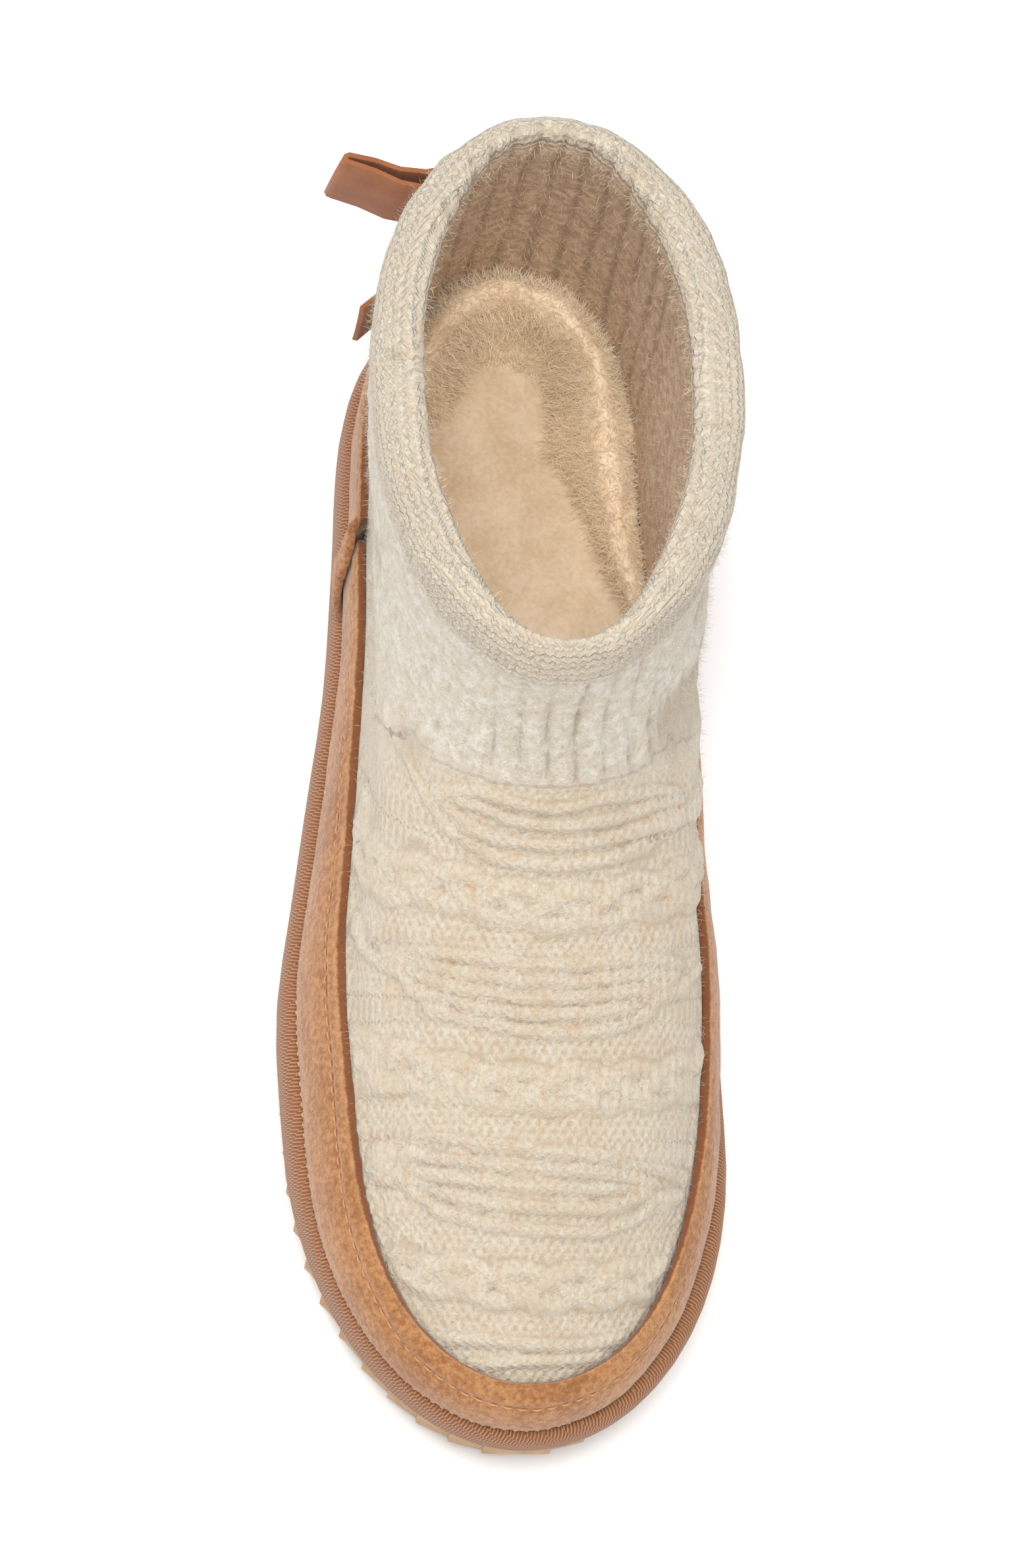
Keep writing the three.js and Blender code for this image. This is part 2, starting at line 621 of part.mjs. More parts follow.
// The insole fills the foot inside the knit and lies on the platform.
function insoleGeometry() {
  const trimmed = 0.985; // share of the width left where the edge is rounded
  const ring = (up, trim) =>
    turned(AROUND, (turn) => {
      const p = upperOffset(0, turn, -KNIT_WALL - INSOLE_MARGIN).multiplyScalar(trim);
      return p.setZ(platformHeight(alongAt(p.y)) + GAP + up);
    });
  return solidFromRings([
    ring(0, trimmed),
    ring(INSOLE_THICKNESS * 0.6, 1),
    ring(INSOLE_THICKNESS, trimmed),
  ]);
}

// A point round the shaft at a height, a distance round from the back seam (outer side positive).
function shaftPoint(height, round, out) {
  const level = levelForBack(height);
  const steps = 60;
  const sign = Math.sign(round) || 1;
  let turn = Math.PI;
  let left = Math.abs(round);
  let here = upperPoint(level, turn);
  for (let i = 0; i < steps * 4 && left > 0; i++) {
    const next = turn - (sign * Math.PI) / (steps * 4);
    const there = upperPoint(level, next);
    const step = there.distanceTo(here);
    turn = lerp(turn, next, Math.min(left / step, 1));
    left -= step;
    here = there;
  }
  return upperOffset(level, turn, out).setZ(height);
}

// Level at which the back seam is at a height.
function levelForBack(height) {
  let low = 0;
  let high = 1;
  for (let i = 0; i < 24; i++) {
    const mid = (low + high) / 2;
    if (upperPoint(mid, Math.PI).z < height) low = mid;
    else high = mid;
  }
  return (low + high) / 2;
}

// The pull loop: a strap sewn to the back seam that runs straight off to the outer side, where it
// is folded back on itself. Its line is drawn as distance sideways from the seam and distance
// behind the seam, so it keeps the lean of the back.
function pullLoopGeometry() {
  const height = platformHeight(1) + LOOP_AT * UPPER_HEIGHT;
  const layer = 8; // points along each of the two layers
  const fold = 4; // points round the fold
  const between = (t) => STRAP + 0.5 + LOOP_GAP * Math.sin(Math.PI * Math.pow(t, 0.8));
  const under = (t) => GAP + STRAP / 2 - LOOP_BOW * Math.pow(Math.sin(Math.PI * Math.pow(t, 1.6)), 2);
  const line = [];
  for (let i = 0; i <= layer; i++) {
    const t = i / layer;
    line.push(new THREE.Vector2(lerp(-LOOP_START, LOOP_REACH, t), under(t)));
  }
  const radius = between(1) / 2;
  for (let i = 1; i < fold; i++) {
    const angle = (i / fold) * Math.PI - Math.PI / 2;
    const behind = under(1) + radius * (1 + Math.sin(angle));
    line.push(new THREE.Vector2(LOOP_REACH + radius * Math.cos(angle), behind));
  }
  for (let i = layer; i >= 0; i--) {
    const t = i / layer;
    line.push(new THREE.Vector2(lerp(-LOOP_START, LOOP_REACH, t), under(t) + between(t)));
  }
  const last = line.length - 1;
  const at = (u, v, side) => {
    const i = Math.round(u * last);
    const along = line[Math.min(i + 1, last)].clone().sub(line[Math.max(i - 1, 0)]).normalize();
    const sideways = line[i].x - (along.y * side * STRAP) / 2;
    const behind = line[i].y + (along.x * side * STRAP) / 2;
    const far = clamp(sideways / LOOP_REACH, 0, 1);
    const z = height + LOOP_LIFT * Math.pow(far, 1.5) + (v - 0.5) * LOOP_HEIGHT;
    const seam = upperPoint(levelForBack(z), Math.PI);
    const lean = LOOP_LEAN * far * (v - 0.5);
    return new THREE.Vector3(lean - sideways, seam.y + behind, z);
  };
  return solidFromSheet(
    last,
    2,
    (u, v) => at(u, v, -1),
    (u, v) => at(u, v, 1),
  );
}

// The heel patch: a bare suede label round the back of the heel, its outer end standing off.
function heelPatchGeometry() {
  const centre = platformHeight(1) + COUNTER_AT_BACK + PATCH_CLEAR + PATCH_HEIGHT / 2;
  const at = (u, v, extra) => {
    const round = lerp(PATCH_HALF, -PATCH_HALF, u);
    const curl = PATCH_CURL * Math.pow(clamp(1 - u / 0.28, 0, 1), 2);
    const height = centre + (v - 0.5) * PATCH_HEIGHT;
    return shaftPoint(height, round, GAP + curl + extra * STRAP);
  };
  return solidFromSheet(
    20,
    3,
    (u, v) => at(u, v, 1),
    (u, v) => at(u, v, 0),
  );
}

const KNIT = { color: "#d9cdb8", roughness: 0.95, metalness: 0 };
const SUEDE_LOOK = { color: "#b8793f", roughness: 0.9, metalness: 0 };
const TWILL = { color: "#b47d57", roughness: 0.85, metalness: 0 };
const RUBBER = { color: "#b3936a", roughness: 0.7, metalness: 0 };
const PILE = { color: "#e8cfa6", roughness: 1, metalness: 0 };
const STRAP_LOOK = { color: "#a5673f", roughness: 0.85, metalness: 0 };

const boot = new THREE.Group();
function addPiece(name, geometry, look) {
  const mesh = new THREE.Mesh(geometry, new THREE.MeshStandardMaterial(look));
  mesh.name = name;
  boot.add(mesh);
}

addPiece("outsole", outsoleGeometry(), RUBBER);
addPiece("midsole", midsoleGeometry(), TWILL);
addPiece("insole", insoleGeometry(), PILE);
addPiece("knit_upper", knitUpperGeometry(), KNIT);
addPiece("rand", randGeometry(), SUEDE_LOOK);
addPiece("heel_counter", counterGeometry(), SUEDE_LOOK);
addPiece("heel_patch", heelPatchGeometry(), STRAP_LOOK);
addPiece("pull_loop", pullLoopGeometry(), STRAP_LOOK);

// The origin is on the ground under the middle of the whole boot.
const box = new THREE.Box3().setFromObject(boot, true);
const middle = box.getCenter(new THREE.Vector3());
boot.position.set(-middle.x, -middle.y, -box.min.z);
const part = new THREE.Group();
part.add(boot);

export default part;
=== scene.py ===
# %% [markdown]
# # A knit bootie with a suede rand
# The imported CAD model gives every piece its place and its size. This script dresses it: it loads the
# model as a fixed frame, copies the pieces that are soft on the real boot, and gives those copies
# ribs, cables, stitches, nap and fluff. Lengths inside the helpers are in millimetres, because that
# is how a boot is measured, and Blender itself works in metres.

# %% Load the frame
import math
import bpy
import numpy as np
from mathutils import Matrix, Vector, noise
from mathutils.bvhtree import BVHTree


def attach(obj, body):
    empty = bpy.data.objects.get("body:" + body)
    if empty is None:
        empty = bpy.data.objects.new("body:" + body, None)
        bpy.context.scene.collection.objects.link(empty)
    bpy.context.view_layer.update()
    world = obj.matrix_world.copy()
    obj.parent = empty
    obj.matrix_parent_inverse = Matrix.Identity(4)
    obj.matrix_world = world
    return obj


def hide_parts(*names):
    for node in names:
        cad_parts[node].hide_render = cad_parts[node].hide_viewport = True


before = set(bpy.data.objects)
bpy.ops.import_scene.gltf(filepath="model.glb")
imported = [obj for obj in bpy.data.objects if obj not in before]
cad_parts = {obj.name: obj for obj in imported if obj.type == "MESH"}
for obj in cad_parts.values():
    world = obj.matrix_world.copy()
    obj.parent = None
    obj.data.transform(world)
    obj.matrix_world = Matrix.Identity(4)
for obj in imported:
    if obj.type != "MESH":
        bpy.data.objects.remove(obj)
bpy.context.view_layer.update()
MM = 0.001

# %% [markdown]
# ## Camera
# A picture taken from above with the toe towards us. Azimuth and elevation say from which side the
# camera looks, and the roll turns the picture, because the boot stands a little askew in it. A
# long lens far away keeps the sole's sides nearly parallel.

# %% Camera
AZIMUTH = math.radians(-15.4)
ELEVATION = math.radians(66.5)
ROLL = math.radians(15)
DISTANCE = 1.3
LOOK_AT = Vector((4.2, 3.0, 20)) * MM
IMAGE_HEIGHT = 2380  # pixels
FOCAL = 8671  # pixels
BELOW_CENTRE = 110  # pixels from the picture's centre down to the point looked at
SENSOR = 36

backward = Vector((
    math.sin(AZIMUTH) * math.cos(ELEVATION),
    -math.cos(AZIMUTH) * math.cos(ELEVATION),
    math.sin(ELEVATION),
))
level_right = Vector((math.cos(AZIMUTH), math.sin(AZIMUTH), 0))
level_up = backward.cross(level_right)
right = level_right * math.cos(ROLL) + level_up * math.sin(ROLL)
up = level_up * math.cos(ROLL) - level_right * math.sin(ROLL)
camera_data = bpy.data.cameras.new("camera")
camera_data.sensor_width = SENSOR
camera_data.lens = SENSOR * FOCAL / IMAGE_HEIGHT
camera = bpy.data.objects.new("camera", camera_data)
bpy.context.scene.collection.objects.link(camera)
place = LOOK_AT + backward * DISTANCE + up * (BELOW_CENTRE / FOCAL * DISTANCE)
camera.matrix_world = Matrix((right, up, backward)).transposed().to_4x4()
camera.location = place
bpy.context.scene.camera = camera
print("camera at", [round(v, 3) for v in place])

# %% [markdown]
# ## Socket maths for the materials
# A material is a sum of patterns. Writing each sum with nodes takes many lines, so this small class
# wraps a socket: adding or multiplying two of them adds the Math node that does it. Everything else
# comes from one method that makes any node.


# %% A small language for materials
def tone(red, green, blue):
    """A colour given as it shows on a screen, 0 to 255, as the linear colour a shader needs."""
    def linear(value):
        share = value / 255
        return share / 12.92 if share <= 0.04045 else ((share + 0.055) / 1.055) ** 2.4
    return (linear(red), linear(green), linear(blue), 1)


class Field:
    """A socket that sums, products and powers can be written with."""

    def __init__(self, look, socket):
        self.look, self.socket = look, socket

    def maths(self, operation, *others):
        values = dict(enumerate((self, *others)))
        return self.look.node("ShaderNodeMath", {"operation": operation}, values)

    def __add__(self, other): return self.maths("ADD", other)
    def __radd__(self, other): return self.maths("ADD", other)
    def __sub__(self, other): return self.maths("SUBTRACT", other)
    def __rsub__(self, other): return (self * -1) + other
    def __mul__(self, other): return self.maths("MULTIPLY", other)
    def __rmul__(self, other): return self.maths("MULTIPLY", other)
    def __truediv__(self, other): return self.maths("DIVIDE", other)
    def __pow__(self, other): return self.maths("POWER", other)
    def sin(self): return self.maths("SINE")
    def size(self): return self.maths("ABSOLUTE")

    def between(self, low, high):
        """0 below low, 1 above high and smooth in between."""
        values = {"Value": self, "From Min": low, "From Max": high}
        return self.look.node("ShaderNodeMapRange", {"interpolation_type": "SMOOTHSTEP"}, values)


class Look:
    """A material under construction."""

    def __init__(self, name, **constants):
        self.material = bpy.data.materials.new(name)
        self.material.use_nodes = True
        self.tree = self.material.node_tree
        self.shader = self.tree.nodes["Principled BSDF"]
        for socket, value in constants.items():
            self.shader.inputs[socket.replace("_", " ")].default_value = value
        self.place = self.node("ShaderNodeTexCoord", out="Object")

    def node(self, kind, settings=None, values=None, out=0):
        made = self.tree.nodes.new(kind)
        for key, value in (settings or {}).items():
            setattr(made, key, value)
        for key, value in (values or {}).items():
            if isinstance(value, Field):
                self.tree.links.new(value.socket, made.inputs[key])
            else:
                made.inputs[key].default_value = value
        return Field(self, made.outputs[out])

    def noise(self, size, detail=2.0, at=None, seed=0.0):
        """Cloudy variation from 0 to 1 whose features are about that many millimetres wide."""
        values = {"Vector": at or self.place, "Scale": 1 / (size * MM), "Detail": detail, "W": seed}
        return self.node("ShaderNodeTexNoise", {"noise_dimensions": "4D"}, values)

    def mix(self, share, first, second):
        values = {0: share, 6: first, 7: second}
        return self.node("ShaderNodeMix", {"data_type": "RGBA"}, values, out=2)

    def attribute(self, name):
        return self.node("ShaderNodeAttribute", {"attribute_name": name}, out="Fac")

    def stretched(self, across, along, upward):
        values = {"Vector": self.place, "Scale": (across, along, upward)}
        return self.node("ShaderNodeMapping", {}, values)

    def bump(self, height, depth, strength=1.0):
        """A normal that shows height, from 0 to 1, as relief of that many millimetres."""
        values = {"Strength": strength, "Distance": depth * MM, "Height": height}
        return self.node("ShaderNodeBump", {}, values)

    def finish(self, colour, roughness, normal=None):
        for socket, value in (("Base Color", colour), ("Roughness", roughness), ("Normal", normal)):
            if isinstance(value, Field):
                self.tree.links.new(value.socket, self.shader.inputs[socket])
            elif value is not None:
                self.shader.inputs[socket].default_value = value
        return self.material


# %% [markdown]
# ## Floor and light
# A pale floor that fades into a white room, a soft light from the outer side, which brings out the
# relief of the knit, and one overhead, which shines down into the shaft. Most of the light comes
# from the white room itself, so that shadows stay soft and the wool looks matt.

# %% Floor and light
bpy.context.scene.view_settings.view_transform = "Standard"
world = bpy.data.worlds.new("white_room")
world.use_nodes = True
ROOM_LIGHT = 0.95
world.node_tree.nodes["Background"].inputs["Color"].default_value = (1, 1, 1, 1)
world.node_tree.nodes["Background"].inputs["Strength"].default_value = ROOM_LIGHT
bpy.context.scene.world = world

bpy.ops.object.select_all(action="DESELECT")
bpy.ops.mesh.primitive_plane_add(size=8, location=(0, 0, -0.1 * MM))
floor = bpy.context.object
floor.name = "floor"
floor_look = Look("pale_floor")
floor.data.materials.append(floor_look.finish(
    floor_look.mix(floor_look.noise(900), (0.90, 0.90, 0.90, 1), (0.93, 0.93, 0.93, 1)), 0.9))

LIGHTS = [
    {"name": "key", "at": (-0.8, 0.4, 1.5), "size": 0.8, "power": 7},
    {"name": "overhead", "at": (-0.15, -0.45, 1.9), "size": 0.5, "power": 24},
]
for row in LIGHTS:
    lamp = bpy.data.lights.new(row["name"], "AREA")
    lamp.size, lamp.energy = row["size"], row["power"]
    light = bpy.data.objects.new(row["name"], lamp)
    bpy.context.scene.collection.objects.link(light)
    light.location = row["at"]
    light.rotation_euler = Vector(row["at"]).to_track_quat("Z", "Y").to_euler()
print(len(LIGHTS), "lights")


# %% [markdown]
# ## Helpers for meshes
# Every soft piece starts as a copy of its CAD solid, so it can't end up in the wrong place. The copy
# is made of loose triangles, so they are merged and turned back into four-sided faces first.


# %% Copies of CAD nodes and their points
def activate(piece):
    bpy.ops.object.select_all(action="DESELECT")
    piece.select_set(True)
    bpy.context.view_layer.objects.active = piece


def copy_of(node, name):
    """A merged copy of a CAD node, made of four-sided faces where its triangles pair up."""
    piece = bpy.data.objects.new(name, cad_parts[node].data.copy())
    bpy.context.scene.collection.objects.link(piece)
    piece.data.materials.clear()
    activate(piece)
    bpy.ops.object.mode_set(mode="EDIT")
    bpy.ops.mesh.select_all(action="SELECT")
    bpy.ops.mesh.remove_doubles(threshold=0.01 * MM)
    bpy.ops.mesh.tris_convert_to_quads(face_threshold=math.pi, shape_threshold=math.pi)
    bpy.ops.object.mode_set(mode="OBJECT")
    return piece


def modify(piece, kind, **settings):
    modifier = piece.modifiers.new(kind.lower(), kind)
    for key, value in settings.items():
        setattr(modifier, key, value)
    activate(piece)
    bpy.ops.object.modifier_apply(modifier=modifier.name)


def smooth_shading(piece, angle=180):
    activate(piece)
    bpy.ops.object.shade_smooth_by_angle(angle=math.radians(angle))


def points_of(piece):
    flat = np.empty(len(piece.data.vertices) * 3, np.float32)
    piece.data.vertices.foreach_get("co", flat)
    return flat.reshape(-1, 3).astype(float) / MM


def normals_of(piece):
    flat = np.empty(len(piece.data.vertices) * 3, np.float32)
    piece.data.vertex_normals.foreach_get("vector", flat)
    return flat.reshape(-1, 3).astype(float)


def set_points(piece, points):
    piece.data.vertices.foreach_set("co", (points * MM).astype(np.float32).ravel())
    piece.data.update()


def store(piece, name, values):
    """Keeps a number per point on the mesh, for the material to read."""
    layer = piece.data.attributes.new(name, "FLOAT", "POINT")
    layer.data.foreach_set("value", np.asarray(values, np.float32))


def step(x, low, high):
    share = np.clip((x - low) / (high - low), 0, 1)
    return share * share * (3 - 2 * share)


def clouds(points, size, seed=0.0):
    """Smooth noise from -1 to 1 at points, with features that many millimetres wide."""
    shift = Vector((seed * 17.3, seed * 5.1, seed * 9.7))
    return np.array([noise.noise(Vector(p) + shift) for p in points / size])


def tree_of(*pieces):
    """A search tree over meshes in millimetres, for rays and nearest points."""
    corners, faces = [], []
    for piece in pieces:
        start = len(corners)
        corners.extend(map(tuple, points_of(piece)))
        faces.extend(tuple(start + i for i in face.vertices) for face in piece.data.polygons)
    return BVHTree.FromPolygons(corners, faces)


def from_arrays(name, corners, faces):
    mesh = bpy.data.meshes.new(name)
    mesh.from_pydata((np.asarray(corners) * MM).tolist(), [], [tuple(map(int, face)) for face in faces])
    piece = bpy.data.objects.new(name, mesh)
    bpy.context.scene.collection.objects.link(piece)
    return piece


def add_piece(piece, material, slot, *nodes):
    piece.data.materials.clear()
    piece.data.materials.append(material)
    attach(piece, "root")
    if nodes:
        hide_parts(*nodes)
    print(piece.name, len(piece.data.vertices), "points,", len(piece.data.polygons), "faces")


# %% [markdown]
# ## The knit upper: one fine mesh
# The upper is one knitted piece with raised ribs, leaf shapes and cables. They are a millimetre high
# and a few wide, so they are real shape and not bump. A voxel remesh gives even faces all over,
# which then follow any pattern. The wall inside the foot and what the suede covers are hardly seen,
# so they keep few faces.

# %% The knit upper, remeshed
KNIT_FACE = 1.08
TRIM = ("rand", "heel_counter", "heel_patch", "pull_loop")
TRIM_TOP = 40  # below this height the trim hides the knit that it lies on
TRIM_REACH = 1.2  # how near to the trim the hidden knit lies
HIDDEN_BELOW = 96  # the inner wall is thinned out below this height
KEPT = 0.22  # share of the faces that stay where the wall is thinned out
SHAFT_FROM = 75  # height from which the upper is a shaft round a standing axis
SHAFT_AXIS = np.array([2.0, 58.0])
FOOT_MIDDLE = 44  # height of the middle of the hollow below that
knit = copy_of("knit_upper", "knit_upper_wool")
modify(knit, "SUBSURF", levels=2, render_levels=2)
modify(knit, "REMESH", mode="VOXEL", voxel_size=KNIT_FACE * MM)


def facing_in(points, normals):
    """How squarely a surface faces the middle of the boot's hollow, from -1 to 1."""
    shaft = points[:, 2] > SHAFT_FROM
    middle = np.stack([
        np.full(len(points), SHAFT_AXIS[0]),
        np.where(shaft, SHAFT_AXIS[1], np.clip(points[:, 1], -100, 80)),
        np.where(shaft, points[:, 2], FOOT_MIDDLE),
    ], axis=1)
    way = middle - points
    return np.einsum("ij,ij->i", normals, way) / np.linalg.norm(way, axis=1)


points = points_of(knit)
inside = facing_in(points, normals_of(knit)) > 0.1
trim = tree_of(*(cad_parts[n] for n in TRIM))
to_trim = np.array([trim.find_nearest(Vector(p))[3] for p in points])
covered = (to_trim < TRIM_REACH) & (points[:, 2] < TRIM_TOP)
few = (inside & (points[:, 2] < HIDDEN_BELOW)) | covered
thinned = knit.vertex_groups.new(name="thinned")
thinned.add(np.nonzero(few)[0].tolist(), 1.0, "REPLACE")
print("before thinning:", len(points), "points,", int(few.sum()), "of them hidden")
kept_in_all = 1 - (1 - KEPT) * few.mean()
modify(knit, "DECIMATE", ratio=kept_in_all, vertex_group="thinned", vertex_group_factor=1000)

# %% [markdown]
# ## The knit upper: where on the pattern each point lies
# Knitters count rows along the foot and stitches round it. The crest of the instep is found on the
# mesh, and every point is given its place along the crest (`rows`) and its distance round from it
# (`round_`). Up the shaft the pattern counts round the ankle instead (`girth`).

# %% Pattern coordinates
points, normals = points_of(knit), normals_of(knit)
inside = facing_in(points, normals) > 0.1
TOE_CREST, COLLAR_CREST, CREST_STEP = -134, -8, 2.0
CREST_X = 2.0  # the crest of the instep lies this far to the inner side
crest_y = np.arange(TOE_CREST, COLLAR_CREST, CREST_STEP)
crest = []
for y in crest_y:
    line = points[(np.abs(points[:, 1] - y) < 1.2) & (np.abs(points[:, 0] - CREST_X) < 2)]
    top = line[np.argmax(line[:, 2])]
    crest.append((CREST_X, y, top[2]))
crest = np.array(crest)
crest_rows = np.concatenate([[0], np.cumsum(np.hypot(np.diff(crest[:, 1]), np.diff(crest[:, 2])))])
fine = np.linspace(0, crest_rows[-1], 600)
fine_y = np.interp(fine, crest_rows, crest[:, 1])
fine_z = np.interp(fine, crest_rows, crest[:, 2])

rows = np.empty(len(points))
drop = np.empty(len(points))
for start in range(0, len(points), 4000):
    part = points[start:start + 4000]
    away = np.hypot(part[:, 1:2] - fine_y, part[:, 2:3] - fine_z)
    nearest = away.argmin(axis=1)
    rows[start:start + 4000] = fine[nearest]
    drop[start:start + 4000] = away[np.arange(len(part)), nearest]
aside = points[:, 0] - CREST_X
round_ = np.sign(aside) * np.hypot(aside, drop)

RIB = 6.2
from_axis = points[:, :2] - SHAFT_AXIS
angle = np.arctan2(from_axis[:, 0], -from_axis[:, 1])  # 0 at the front, positive to the inner side
collar = points[~inside & (np.abs(points[:, 2] - 138) < 4)]
collar_angle = np.arctan2(*(collar[:, :2] - SHAFT_AXIS).T * np.array([[1], [-1]]))
collar_radius = np.hypot(*(collar[:, :2] - SHAFT_AXIS).T)
bins = np.linspace(-math.pi, math.pi, 181)
place_in = np.digitize(collar_angle, bins) - 1
radius = np.array([collar_radius[place_in == i].mean() for i in range(180)])
middles = (bins[:-1] + bins[1:]) / 2
lengths = radius * (bins[1] - bins[0])
edges = np.concatenate([[0], np.cumsum(np.hypot(lengths, np.diff(np.append(radius, radius[0]))))])
ribs = round(edges[-1] / RIB)
girth = (np.interp(angle, bins, edges) - np.interp(0, bins, edges)) / edges[-1] * ribs * RIB
inward = np.interp(angle, middles, radius) - np.hypot(*from_axis.T)
print("crest", round(crest_rows[-1]), "mm long,", ribs, "ribs round the shaft")

# %% [markdown]
# ## The knit upper: ribs, leaves and cables
# Each strand of a leaf is a short table of places, as (stitches round from the crest, rows along it).
# Each cable is the same, and three strands wind round that line. A point's height is that of
# the highest strand there. The tables are in millimetres.

# %% Strand tables
RIB_END = 132.6
LEAVES = [
    [[(-26, 126.8), (-15, 129.7), (-7, 128.5), (2, 127.5), (14, 129), (28, 127), (36, 124)],
     [(-26, 126.6), (-15, 126.4), (-7, 124.4), (2, 123.6), (14, 123.8), (28, 124.5), (37, 122.5)],
     [(-26, 126.4), (-17, 121.9), (-9, 120.2), (2, 119.2), (14, 120), (28, 121.3), (37, 121)],
     [(-46, 134), (-34, 129.7), (-26, 124), (-17, 118.4), (-9, 115.8), (3, 114.6), (14, 115.6),
      (28, 117.6), (41, 120.5), (50, 122)]],
    [[(-52, 99.6), (-37, 96), (-26, 95.6), (-14, 95), (-3, 93.6), (9, 93.6), (21, 94.6), (36, 93)],
     [(-37, 95.4), (-26, 92.8), (-14, 91.2), (-3, 90.1), (9, 90.2), (21, 91.4), (34, 91)],
     [(-37, 95), (-26, 90.2), (-14, 88), (-3, 86.6), (9, 86.7), (21, 88.2), (33, 90)],
     [(-37, 94.6), (-26, 87.5), (-16, 84.9), (-3, 83.1), (9, 83.1), (21, 85), (31, 88.5)],
     [(-48, 95.1), (-32, 91), (-24, 84), (-14, 81.4), (-3, 79.5), (9, 79), (20, 80.8), (28, 86),
      (36, 89), (46, 92)]],
    [[(-41, 52.6), (-33, 54.9), (-24, 57), (-13, 55.6), (0, 54.2), (13, 53.2), (19, 51.8), (29, 50),
      (40, 48.4)],
     [(-40, 52.2), (-29, 53.2), (-19, 52.3), (-6, 50.9), (6, 50), (16, 49.4), (23, 48.4), (30, 46.4)],
     [(-38, 51.8), (-29, 50), (-19, 48.3), (-6, 46.8), (6, 46), (16, 45.8), (27, 46)],
     [(-38, 51), (-28, 47.6), (-21, 44.7), (-9, 42.5), (3, 41.6), (15, 41.7), (27, 44.6)],
     [(-42, 51), (-30, 46), (-21, 40.8), (-12, 38.4), (0, 37), (14, 36.4), (22, 39), (28, 43),
      (38, 43.5)]],
    [[(-24, 12.5), (-11, 13.2), (-2, 12.7), (8, 12), (22, 12.6)],
     [(-14, 7.2), (-2, 8.6), (8, 8.6), (16, 8.4)]],
]
CABLES = [
    [(-60, 112), (-39, 109), (-24, 109.8), (-12, 107.4), (0, 105.4), (10, 105.4), (22, 107.4),
     (40, 108.4), (60, 112)],
    [(-56, 76), (-45, 74), (-31, 71.4), (-19, 69.4), (-6, 67.4), (6, 67.2), (19, 67.8), (35, 69.5),
     (50, 72)],
    [(-38, 28), (-30, 27), (-18, 26.4), (-5, 24.8), (8, 24.6), (21, 25), (32, 25), (40, 26)],
]
STRAND_HEIGHT, STRAND_WIDTH = 1.3, 1.15
CABLE_SWING, CABLE_LENGTH, CABLE_WIDTH, CABLE_HEIGHT = 3.5, 38.0, 1.9, 1.4
RIB_DEPTH, RIB_STEP = 1.6, 0.3
SLACK = 0.4  # the smoothed mesh stands this far proud of the CAD face

height = np.full(len(points), -0.15)
across = np.zeros(len(points))
strand = np.zeros(len(points))


def lay_strand(line, side, width, tall):
    """Raises the mesh along a line of rows, where this strand is higher than what is there."""
    share = tall * np.exp(-(side / width) ** 2)
    first, last = line[0, 0], line[-1, 0]
    share = share * step(round_, first - 2, first + 2) * (1 - step(round_, last - 2, last + 2))
    over = share > np.maximum(height, 0.12)
    height[over] = share[over]
    across[over] = (side / width)[over]
    strand[over] = 1.0


for leaf in LEAVES:
    for table in leaf:
        line = np.array(table, float)
        middle = np.interp(round_, line[:, 0], line[:, 1])
        slope = np.interp(round_, line[:, 0], np.gradient(line[:, 1], line[:, 0]))
        lay_strand(line, (rows - middle) / np.hypot(1, slope), STRAND_WIDTH, STRAND_HEIGHT)
for table in CABLES:
    line = np.array(table, float)
    middle = np.interp(round_, line[:, 0], line[:, 1])
    for third in range(3):
        turn = 2 * math.pi * (round_ / CABLE_LENGTH + third / 3)
        side = rows - middle - CABLE_SWING * np.sin(turn)
        slope = CABLE_SWING * np.cos(turn) * 2 * math.pi / CABLE_LENGTH
        tall = CABLE_HEIGHT + 0.45 * np.sin(2 * turn)
        lay_strand(line, side / np.hypot(1, slope), CABLE_WIDTH, tall)
vamp_height, vamp_across, vamp_strand = height.copy(), across.copy(), strand.copy()
print("points on strands:", int(strand.sum()))

# %% [markdown]
# The ribs of the shaft are narrow grooves between broad ridges. They run down to the rand on both
# sides and end above the first leaf at the front, where they wander a little. The hem is the same
# knit folded over, so there the ribs fade. Creases are laid one by one, as soft troughs.

# %% Ribs, hem and creases
rib_border = RIB_END - 0.25 * np.maximum(np.abs(round_) - 35, 0)
blend = 1.6 + 0.3 * np.maximum(np.abs(round_) - 22, 0)
on_shaft = step((rows - rib_border) / blend, -1, 1.3)
on_shaft = np.maximum(on_shaft, step(points[:, 1], 30, 60))
front = 1 - step(np.abs(girth - 3), 10, 38)
wander = 1.3 * np.sin(points[:, 2] / 9 + girth / 11)
girth_wandering = girth + wander * (1 - 0.8 * inside)
beside_groove = np.abs((girth_wandering / RIB + 0.5) % 1 - 0.5) * RIB
HEM_TOP, HEM_LOW = 151.0, 137.0
on_hem = step(points[:, 2], HEM_LOW, HEM_LOW + 5)
at_back = inside * step(points[:, 1], 85, 100)
fading = 0.65 + 0.35 * clouds(points, 16, seed=5)
groove = RIB_DEPTH * (0.2 + 0.8 * front) * (1 - on_hem) * (1 - inside) * fading + 1.3 * at_back
stand_out = RIB_STEP * (1 - step(np.abs(round_), 16, 34))
rib_height = stand_out - groove * np.exp(-(beside_groove / 0.85) ** 2)
rib_height += 0.4 * clouds(points, 3.4, seed=12) * (1 - on_hem)
height = vamp_height + (rib_height - vamp_height) * on_shaft - SLACK
COLUMN = 2.07  # width of a column of knit stitches
column = (girth_wandering / COLUMN + 0.5) % 1 - 0.5
across = vamp_across + (column * 2.2 - vamp_across) * on_shaft
strand = vamp_strand + (1 - vamp_strand) * on_shaft
over_rim = points[:, 2] + np.where(points[:, 2] > 140, np.clip(inward, 0, 12), 0)
